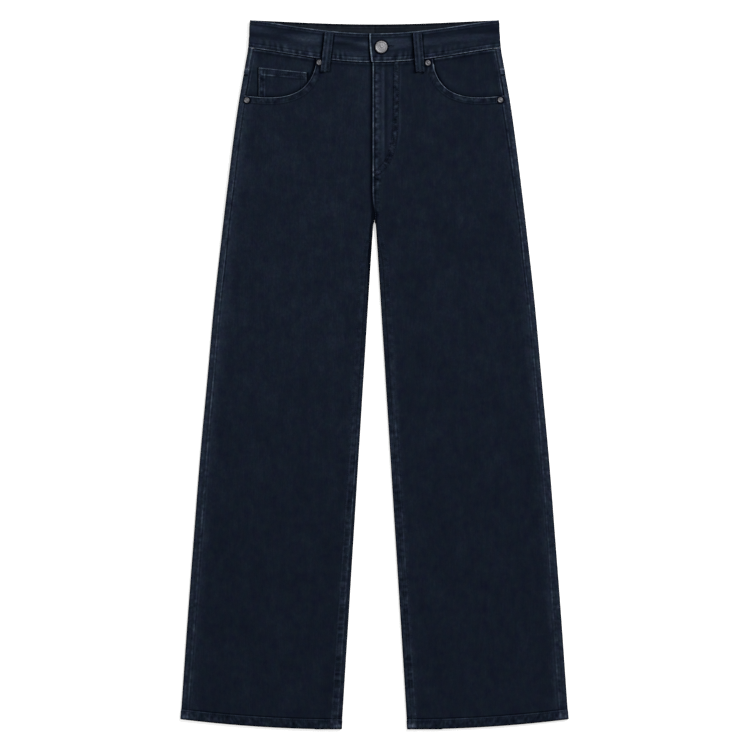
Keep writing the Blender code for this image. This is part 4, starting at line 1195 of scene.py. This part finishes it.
def shadowUnderCrotch(x, down):  # painted shadow in the deep fold where the legs part, wider on the wearer's right
    away = np.abs(x) - innerEdge(down)
    soon = pastCrotch(down, 0, 8)
    wide = np.where(x < 0, mix(3.4, 1.4, pastCrotch(down, 45, 110)), mix(2.2, 0.8, soon)) * mm
    strength = np.where(x < 0, 2.4, mix(2.4, 1.0, soon)) * pastCrotch(down, -13, -7)
    return strength * (1 - pastCrotch(down, 65, 150)) * (1 - ramp(away, wide, wide + 1.6 * mm))


def shadowBesideBandEnd(x, down):
    share = (down - bandTop(0, 1)) / cut["bandHeight"]
    away = leftBandEnd(np.clip(share, 0, 1)) - x
    return (0.7 + 1.0 * share) * bump(away, 0.9 * mm, mix(2.0, 3.6, share) * mm)


def shadowBesideCoinPocket(x, down):
    look = pocketLook
    below = rampMm(down - coinTop(-x), -1, 1)
    outer = bump(-x, look["coinOuter"] + 1.2 * mm, 2.2 * mm)
    return 0.9 * below * (outer + bump(-x, look["coinInner"] - 1.6 * mm, 3.5 * mm))


# each call paints the shadow of a raised edge onto the cloth below it
shadeCloth(("waistband_left", "waistband_right", "front_left", "front_right"), shadowBesideLoops)
shadeCloth(("pocket_facing_left", "pocket_facing_right", "coin_pocket"), shadowInsideOpening)
shadeCloth(("pocket_facing_right",), shadowBesideCoinPocket)
shadeCloth(("front_right",), shadowBesideFly)
shadeCloth(("waistband_right",), shadowBesideBandEnd)
shadeCloth(("front_left", "front_right", "back_left", "back_right"), shadowUnderCrotch)

# stitches: thread laid along a path by geometry nodes

stitchLook = {"pitch": 3.2 * mm, "length": 2.7 * mm, "width": 0.62 * mm, "height": 0.5 * mm,
              "raise": 0.06 * mm, "tackRaise": 0.15 * mm, "pathStep": 2.0 * mm}


def newTree(name, inputs):  # a geometry tree with its named inputs: (name, socket type, first value)
    tree = bpy.data.node_groups.new(name, "GeometryNodeTree")
    tree.interface.new_socket("Geometry", in_out="INPUT", socket_type="NodeSocketGeometry")
    for label, kind, value in inputs:
        socket = tree.interface.new_socket(label, in_out="INPUT", socket_type=kind)
        if value is not None:
            socket.default_value = value
    tree.interface.new_socket("Geometry", in_out="OUTPUT", socket_type="NodeSocketGeometry")
    given = addNode(tree, "NodeGroupInput").outputs
    path = addNode(tree, "GeometryNodeMeshToCurve", None, {"Mesh": given["Geometry"]})
    even = addNode(tree, "GeometryNodeResampleCurve", {"mode": "LENGTH"}, {
        "Curve": path, "Length": given["Pitch"]})
    return tree, given, even


def finishTree(tree, geometry, material):
    solid = addNode(tree, "GeometryNodeRealizeInstances", None, {"Geometry": geometry})
    dressed = addNode(tree, "GeometryNodeSetMaterial", None, {"Geometry": solid, "Material": material})
    addNode(tree, "NodeGroupOutput", None, {0: dressed})
    return tree


def stitchTree(look):
    tree, given, even = newTree("stitchesAlongPaths", [
        ("Pitch", "NodeSocketFloat", look["pitch"]), ("Stitch length", "NodeSocketFloat", look["length"]),
        ("Thread width", "NodeSocketFloat", look["width"]),
        ("Thread height", "NodeSocketFloat", look["height"]), ("Turn", "NodeSocketFloat", 0.0),
        ("Seed", "NodeSocketInt", 7), ("Material", "NodeSocketMaterial", None)])
    ball = addNode(tree, "GeometryNodeMeshUVSphere", None, {"Segments": 6, "Rings": 4, "Radius": 0.5})
    size = addNode(tree, "ShaderNodeCombineXYZ", None, {
        0: given["Stitch length"], 1: given["Thread width"], 2: given["Thread height"]})
    turn = addNode(tree, "ShaderNodeCombineXYZ", None, {2: given["Turn"]})
    bead = addNode(tree, "GeometryNodeTransform", None, {"Geometry": ball, "Scale": size})
    bead = addNode(tree, "GeometryNodeTransform", None, {"Geometry": bead, "Rotation": turn})
    smooth = addNode(tree, "GeometryNodeSetShadeSmooth", None, {0: bead})
    tangent = addNode(tree, "GeometryNodeInputTangent")
    facing = addNode(tree, "FunctionNodeAlignRotationToVector", {"axis": "X"}, {"Vector": tangent})
    uneven = addNode(tree, "FunctionNodeRandomValue", {"data_type": "FLOAT"}, {
        2: 0.88, 3: 1.08, "Seed": given["Seed"]})
    laid = addNode(tree, "GeometryNodeInstanceOnPoints", None, {
        "Points": even, "Instance": smooth, "Rotation": facing, "Scale": uneven.outputs[1]})
    return finishTree(tree, laid, given["Material"])


stitching = stitchTree(stitchLook)


def pathsMesh(name, paths):
    points, edges = [], []
    for path in paths:
        first = len(points)
        points += [tuple(p) for p in path]
        edges += [(first + i, first + i + 1) for i in range(len(path) - 1)]
    mesh = bpy.data.meshes.new(name)
    mesh.from_pydata(points, edges, [])
    return mesh


def grown(name, tree, mesh, values, material):  # runs a tree on a mesh and keeps the result as a plain mesh
    maker = placed(name + "Maker", mesh)
    grower = maker.modifiers.new("grower", "NODES")
    grower.node_group = tree
    values = {**values, "Material": material}
    for item in tree.interface.items_tree:
        if item.in_out == "INPUT" and item.name in values:
            grower[item.identifier] = values[item.name]
    bpy.context.view_layer.update()
    result = bpy.data.meshes.new_from_object(maker.evaluated_get(bpy.context.evaluated_depsgraph_get()))
    bpy.data.objects.remove(maker)
    result.name = name
    return placed(name, result)


faceTrees = {}


def faceTree(node):  # the outer face of a finished sheet, for laying thread on it
    if node not in faceTrees:
        mesh = sheets[node].data
        faces = cornersOf(mesh).reshape(-1, 4).tolist()
        faceTrees[node] = BVHTree.FromPolygons(pointsOf(mesh).tolist(), faces)
    return faceTrees[node]


def laidPath(node, line, side, below, raised):
    # a line of x and down, laid on the sheet's upper face, or on its face to the floor
    size = lengthsOf(line)[-1]
    line = resample(line, np.linspace(0, size, max(int(size / stitchLook["pathStep"]), 2) + 1))
    start, aim = (-0.02, 1) if below else (0.05, -1)
    path = []
    for x, down in line:
        hit = faceTree(node).ray_cast((side * x, cut["length"] / 2 - down, start), (0, 0, aim))[0]
        if hit is not None:
            path.append((hit.x, hit.y, hit.z - aim * raised))
    return path


def downLine(start, end, xAt):  # a line down the garment, x given by a function
    down = np.append(np.arange(start, end, 4 * mm), end)
    return np.stack([xAt(down) + 0 * down, down], axis=1)


def acrossLine(start, end, downAt, step=3 * mm):
    x = np.linspace(start, end, max(int(abs(end - start) / step), 2))
    return np.stack([x, downAt(x) + 0 * x], axis=1)


def hemLine(fromEdges):  # parallel to the hem
    inside, outside = innerEdge(cut["hemSide"]) + fromEdges, outerEdge(cut["hemSide"]) - fromEdges
    return acrossLine(inside, outside, lambda x: hemEdge(x) - hemSewing * mm, 4 * mm)


def seamPaths(word):  # every row of stitches: the piece it is sewn on, its line, whether it faces the floor
    crotch = cut["crotch"]
    front, back, yoke, band, pocket = (f"{part}_{word}" for part in (
        "front", "back", "yoke", "waistband", "back_pocket"))
    rows = [(front, offsetLine(opening, away), False) for away in np.array(twinRows) * mm]
    for away in (1.6 * mm, 7.6 * mm):
        def inseamX(down):
            return inseamCurve(down, -0.4 * mm - inseamPlace(down) - away)[0]
        rows.append((front, downLine(crotch + 4 * mm, cut["hemSide"] + 12 * mm, inseamX), False))
    sideLine = downLine(124 * mm, 178 * mm, lambda down: outerEdge(down) - cut["inset"] - 2.2 * mm)
    rows.append((front, sideLine, False))
    rows.append((front, hemLine(8 * mm), False))
    rows.append((back, hemLine(3 * mm), True))
    for away in np.array(twinRows) * mm:
        rows.append((back, acrossLine(2 * mm, 193 * mm, lambda x: yokeSeam(x, 0) + away), True))
    if word == "left":
        for away in (0.2 * mm, 6.6 * mm):
            rows.append((front, offsetLine(flyStitch, away), False))
        for away in (1.6 * mm, 7.0 * mm):
            line = downLine(238 * mm, crotch - 3 * mm, lambda down: leftFrontShown(down) + away)
            rows.append((front, line, False))
            rows.append((back, downLine(112 * mm, crotch - 5 * mm, lambda down: 0.2 * mm + away), True))
            rows.append((yoke, downLine(50 * mm, 106 * mm, lambda down: 0.2 * mm + away), True))
        line = downLine(66 * mm, 230 * mm, lambda down: leftFrontShown(down) + 2.4 * mm)
        rows.append((front, line, False))
    bandEnd = -3.0 * mm if word == "left" else 8.0 * mm
    for share in (0.06, 0.95):
        for start, end, over in ((bandEnd, 182 * mm, 1), (2 * mm, 183 * mm, 0)):
            line = acrossLine(start, end, lambda x: share * cut["bandHeight"] + bandTop(x, over))
            rows.append((band, line, not over))
    topX, footX, top, foot = pocketEdges(40)
    for away in (1.6 * mm, 12.6 * mm):
        rows.append((pocket, np.stack([topX, top + away], axis=1)[1:-1], True))
    for away in (1.6 * mm, 7.0 * mm):
        inner, outer = (
            np.array([(topX[end] + turn, top[end] + 1 * mm), (footX[end] + turn, foot[end] - away)])
            for end, turn in ((0, away), (-1, -away)))
        bottom = np.stack([footX, foot - 1.2 * away], axis=1)
        bottom = bottom[(footX > footX[0] + away) & (footX < footX[-1] - away)]
        rows += [(pocket, line, True) for line in (inner, bottom, outer)]
    return rows


runningStitch = {"Pitch": stitchLook["pitch"], "Stitch length": stitchLook["length"], "Turn": 0.0}
tackStitch = {"Pitch": 0.6 * mm, "Stitch length": 2.0 * mm, "Turn": math.radians(82)}
holeStitch = {"Pitch": 0.7 * mm, "Stitch length": 1.8 * mm, "Turn": math.radians(88)}
tacks = {  # bar tacks, a short close zigzag where a seam is pulled: x and down of both ends, in millimetres
    "front": [((88.7, 64.0), (91.2, 72.0)), ((180.0, 116.0), (180.0, 122.5))],
    "front_left": [((1.0, 227.5), (8.5, 222.5)), ((21.5, 186.0), (29.5, 184.0))],
    "coin_pocket": [((102.5, 80.5), (108.0, 80.5)), ((164.0, 73.6), (169.5, 73.0))],
    "back_pocket": [((31.5, 120.5), (37.0, 120.5)), ((158.5, 111.5), (164.0, 111.5))]}
sewn = {}


def sewRows(name, rows, side, settings, raised):
    paths = [laidPath(node, line, side, below, raised) for node, line, below in rows]
    paths = [path for path in paths if len(path) > 1]
    sewn[name] = grown(name, stitching, pathsMesh(name, paths), settings, thread)


for word, side in (("left", 1), ("right", -1)):
    rows = seamPaths(word)
    for node in dict.fromkeys(row[0] for row in rows):
        sewRows("stitches" + node.title().replace("_", ""), [row for row in rows if row[0] == node], side,
                runningStitch, stitchLook["raise"])
    pulled = [(f"front_{word}", "front", False), (f"back_pocket_{word}", "back_pocket", True)]
    other = "front_left" if side > 0 else "coin_pocket"
    pulled.insert(1, (other, other, False))
    rows = [(node, np.array(ends) * mm, below) for node, kind, below in pulled for ends in tacks[kind]]
    sewRows(f"barTacks{word.title()}", rows, side, tackStitch, stitchLook["tackRaise"])

coinRows = [acrossLine(102 * mm, 170 * mm, lambda x: coinTop(x) + away) for away in (1.6 * mm, 7.2 * mm)]
for away in (1.4 * mm, 6.2 * mm):
    coinRows.append(downLine(72 * mm, 118 * mm, lambda down: pocketLook["coinOuter"] - away))
    coinRows.append(downLine(79 * mm, 100 * mm, lambda down: pocketLook["coinInner"] + away))
sewRows("stitchesCoinPocket", [("coin_pocket", line, False) for line in coinRows], -1, runningStitch,
        stitchLook["raise"])

loopRows, loopTacks = [], []
for loops, over in ((frontLoops, 1), (backLoops, 0)):
    for node, (topX, footX) in loops.items():
        top, foot = bandTop(topX, over), bandFoot(footX, over) + loopLook["belowBand"]
        for away in (-4.0 * mm, 4.0 * mm):
            line = np.array([(topX + away, top + 1.5 * mm), (footX + away, foot - 1.5 * mm)])
            loopRows.append((node, line, not over))
        for x, down in ((topX, top + 2.2 * mm), (footX, foot - 2.6 * mm)):
            loopTacks.append((node, np.array([(x - 5 * mm, down), (x + 5 * mm, down)]), not over))
sewRows("stitchesBeltLoops", loopRows, 1, runningStitch, stitchLook["raise"])
sewRows("barTacksBeltLoops", loopTacks, 1, tackStitch, stitchLook["tackRaise"])

turns = np.linspace(0, math.tau, 41)
turns[-1] = 0  # closed
holeMiddle = (bandLook["holeRight"] + bandLook["holeLeft"]) / 2
holeHalf = (bandLook["holeRight"] - bandLook["holeLeft"]) / 2 + 0.6 * mm
holeX = holeMiddle + holeHalf * np.sign(np.cos(turns)) * np.abs(np.cos(turns)) ** 0.6
holeDown = bandTop(holeX, 1) + 0.455 * cut["bandHeight"] + 1.9 * mm * np.sin(turns)
sewRows("stitchesButtonhole", [("waistband_left", np.stack([holeX, holeDown], axis=1), False)], 1, holeStitch,
        stitchLook["tackRaise"])
print("stitches", {name: len(piece.data.polygons) for name, piece in sewn.items()})

# button, rivets, zip

def turnedPiece(name, profile, steps, place, material):  # profile of (radius, height) from the top down
    points = [(0.0, 0.0, profile[0][1])]
    for radius, height in profile[1:-1]:
        for angle in math.tau / steps * np.arange(steps):
            points.append((radius * math.cos(angle), radius * math.sin(angle), height))
    points.append((0.0, 0.0, profile[-1][1]))
    last = 1 + (len(profile) - 3) * steps
    faces = []
    for k in range(steps):
        j = (k + 1) % steps
        faces.append((0, 1 + k, 1 + j))
        faces += [(a + k, a + steps + k, a + steps + j, a + j) for a in range(1, last, steps)]
        faces.append((last + k, len(points) - 1, last + j))
    mesh = bpy.data.meshes.new(name)
    mesh.from_pydata((np.array(points) + np.array(place)).tolist(), [], faces)
    mesh.materials.append(material)
    mesh.shade_smooth()
    mesh.set_sharp_from_angle(angle=math.radians(50))
    return placed(name, mesh)


buttonLook = {  # face: share of the radius, height above the neck in millimetres
    "radius": 9.0 * mm, "x": 10.0 * mm, "down": 40.2 * mm, "steps": 72, "post": 1.4 * mm,
    "face": [(0, 2.35), (0.10, 2.45), (0.17, 2.30), (0.20, 2.02), (0.28, 1.98), (0.33, 2.12), (0.37, 2.16),
             (0.41, 2.10), (0.44, 1.95), (0.50, 1.92), (0.54, 2.06), (0.58, 2.08), (0.62, 1.96), (0.66, 1.88),
             (0.74, 1.90), (0.79, 2.28), (0.84, 2.50), (0.90, 2.46), (0.95, 2.22), (0.985, 1.85), (1.0, 1.45),
             (0.995, 1.1), (0.95, 0.75), (0.88, 0.4), (0.45, 0.0)],
}
rivetLook = {
    "radius": 4.05 * mm, "steps": 40,
    "face": [(0, 1.30), (0.12, 1.28), (0.22, 1.16), (0.30, 0.86), (0.36, 0.66), (0.48, 0.60), (0.58, 0.64),
             (0.66, 0.86), (0.74, 1.00), (0.82, 0.98), (0.90, 0.82), (0.96, 0.56), (1.0, 0.28), (1.0, 0.0),
             (0, 0.0)],
}
rivets = {"rivet_right_top": (-81.7 * mm, 62.9 * mm), "rivet_right_side": (-189.0 * mm, 118.7 * mm),
          "rivet_left_top": (78.9 * mm, 63.6 * mm), "rivet_left_side": (186.1 * mm, 118.4 * mm)}


def roundMetal(places, radius):  # the shade round a button or rivets
    def shade(x, down):
        return sum(1.1 * bump(np.hypot(x - spotX, down - spotDown), radius + 0.8 * mm, 2.0 * mm)
                   for spotX, spotDown in places)
    return shade


buttonX, buttonDown = buttonLook["x"], buttonLook["down"]
shadeCloth(("waistband_left",), roundMetal([(buttonX, buttonDown)], buttonLook["radius"]))
shadeCloth(("front_left", "front_right", "pocket_facing_left", "pocket_facing_right"),
           roundMetal(rivets.values(), rivetLook["radius"]))
seat = bandUnder(cut["bandHeight"] / 2) + 2 * cut["bandWall"] + 2 * cut["gap"]
neck = leftBandTop(0.0, 0.0) - seat + 0.6 * mm
profile = [(share * buttonLook["radius"], neck + height * mm) for share, height in buttonLook["face"]]
profile += [(buttonLook["post"], neck - 0.2 * mm), (buttonLook["post"], 0.0), (0, 0.0)]
metalPieces = {"button": turnedPiece("shankButton", profile, buttonLook["steps"],
                                     (buttonX, cut["length"] / 2 - buttonDown, seat), nickel)}
profile = [(share * rivetLook["radius"], height * mm) for share, height in rivetLook["face"]]
for node, (x, down) in rivets.items():
    place = (x, cut["length"] / 2 - down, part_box(node)[0][2])
    metalPieces[node] = turnedPiece(pieceName(node), profile, rivetLook["steps"], place, darkNickel)

zipLook = {"x": 20.5 * mm, "tapeHalf": 12 * mm, "tapeWall": 0.5 * mm, "sliderHalf": 4.4 * mm,
           "sliderWall": 1.2 * mm, "sliderLong": 11 * mm, "tooth": (3.0 * mm, 1.0 * mm, 1.15 * mm),
           "pitch": 1.9 * mm, "dark": "#0d1017", "light": "#1d2330"}


def zipTapeMaterial(look):
    # Woven polyester zip tape: flat dark ribs along its length.
    made, tree, shader = newMaterial("wovenZipTape")
    place = addNode(tree, "ShaderNodeTexCoord").outputs["Object"]
    ribs = addNode(tree, "ShaderNodeTexWave", {"wave_type": "BANDS", "bands_direction": "X"},
                   {"Vector": place, "Scale": 1 / (math.tau * 0.35 * mm), "Distortion": 0.4})
    colour = addNode(tree, "ShaderNodeValToRGB", None, {0: ribs}, [(0.2, look["dark"]), (0.8, look["light"])])
    relief = addNode(tree, "ShaderNodeBump", None, {"Strength": 0.6, "Distance": 0.1 * mm, "Height": ribs})
    setInputs(tree, shader, {"Base Color": colour, "Normal": relief, "Roughness": 0.8})
    return made


def toothTree():
    tree, given, even = newTree("zipTeeth", [
        ("Pitch", "NodeSocketFloat", 1 * mm), ("Size", "NodeSocketVector", None),
        ("Material", "NodeSocketMaterial", None)])
    tooth = addNode(tree, "GeometryNodeMeshUVSphere", None, {"Segments": 8, "Rings": 4, "Radius": 0.5})
    tooth = addNode(tree, "GeometryNodeTransform", None, {"Geometry": tooth, "Scale": given["Size"]})
    laid = addNode(tree, "GeometryNodeInstanceOnPoints", None, {"Points": even, "Instance": tooth})
    return finishTree(tree, laid, given["Material"])


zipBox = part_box("zip")
zipFoot, zipTop = zipBox[0][1], zipBox[1][1]
zipMiddle = (zipBox[0][2] + zipBox[1][2]) / 2


def zipSection(name, half, wall, y0, y1, material):
    corners = [(zipLook["x"] + a * half, y, zipMiddle + b * wall / 2)
               for y in (y0, y1) for a, b in ((-1, -1), (1, -1), (1, 1), (-1, 1))]
    sides = [(0, 1, 5, 4), (1, 2, 6, 5), (2, 3, 7, 6), (3, 0, 4, 7)]
    mesh = bpy.data.meshes.new(name)
    mesh.from_pydata(corners, [], [(3, 2, 1, 0), (4, 5, 6, 7)] + sides)
    mesh.materials.append(material)
    return placed(name, mesh)


zipTape = zipSection("zipTape", zipLook["tapeHalf"], zipLook["tapeWall"], zipFoot, zipTop,
                     zipTapeMaterial(zipLook))
toothPath = [(zipLook["x"], zipFoot + 2 * mm, zipMiddle), (zipLook["x"], zipTop - 12 * mm, zipMiddle)]
zipTeeth = grown("zipTeeth", toothTree(), pathsMesh("zipTeeth", [toothPath]),
                 {"Pitch": zipLook["pitch"], "Size": zipLook["tooth"]}, nickel)
zipSlider = zipSection("zipSlider", zipLook["sliderHalf"], zipLook["sliderWall"],
                       zipTop - zipLook["sliderLong"], zipTop, nickel)
print("metal and zip made")

# floor, light, camera

stageLook = {  # frame and centre in pixels of the photo, scale in metres a pixel; lamps: place, size, watts
    "floor": "#dcdcdb", "glow": 0.55, "floorSize": 6.0, "floorHeight": -0.4 * mm, "skylight": 0.36,
    "scale": 1.48 * mm, "frame": 750, "distance": 6.0, "centreX": 374.5, "centreY": 374.75, "sensor": 36,
    "lamps": {"softKey": ((3.0, 3.0, 4.2), 1.3, 400), "softFill": ((-3.4, -1.0, 4.2), 3.0, 70)},
}


def floorMaterial(look):
    # Plain matt white paper.
    made, tree, shader = newMaterial("whitePaper")
    setInputs(tree, shader, {"Base Color": linear(look["floor"]), "Roughness": 0.9,
                             "Emission Color": linear("#ffffff"), "Emission Strength": look["glow"]})
    return made


half, low = stageLook["floorSize"] / 2, stageLook["floorHeight"]
floorMesh = bpy.data.meshes.new("floor")
floorMesh.from_pydata([(-half, -half, low), (half, -half, low), (half, half, low), (-half, half, low)], [],
                      [(0, 1, 2, 3)])
floorMesh.materials.append(floorMaterial(stageLook))
placed("floor", floorMesh)

for name, (place, size, power) in stageLook["lamps"].items():
    light = bpy.data.lights.new(name, "AREA")
    light.shape = "SQUARE"
    light.size = size
    light.energy = power
    lamp = placed(name, light)
    lamp.location = place
    lamp.rotation_euler = Vector(place).to_track_quat("Z", "Y").to_euler()
world = bpy.data.worlds.new("studio")
world.use_nodes = True
setInputs(world.node_tree, world.node_tree.nodes["Background"], {
    "Color": linear("#ffffff"), "Strength": stageLook["skylight"]})
bpy.context.scene.world = world
bpy.context.scene.view_settings.view_transform = "Standard"

lens = bpy.data.cameras.new("camera")
lens.sensor_width = stageLook["sensor"]
lens.lens = stageLook["sensor"] * stageLook["distance"] / (stageLook["scale"] * stageLook["frame"])
camera = placed("camera", lens)
middle = stageLook["frame"] / 2
camera.location = ((middle - stageLook["centreX"]) * stageLook["scale"],
                   (stageLook["centreY"] - middle) * stageLook["scale"], stageLook["distance"])
bpy.context.scene.camera = camera
print("floor, light and camera placed")

# what each piece is to the frame

for node, piece in sheets.items():
    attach(piece, "root")
    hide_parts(node)
for piece in sewn.values():
    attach(piece, "root")
for node, piece in metalPieces.items():
    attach(piece, "root")
    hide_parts(node)
for piece, slot in ((zipTape, "zip_tape"), (zipTeeth, "brushed_metal"), (zipSlider, "brushed_metal")):
    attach(piece, "root")
    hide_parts("zip")
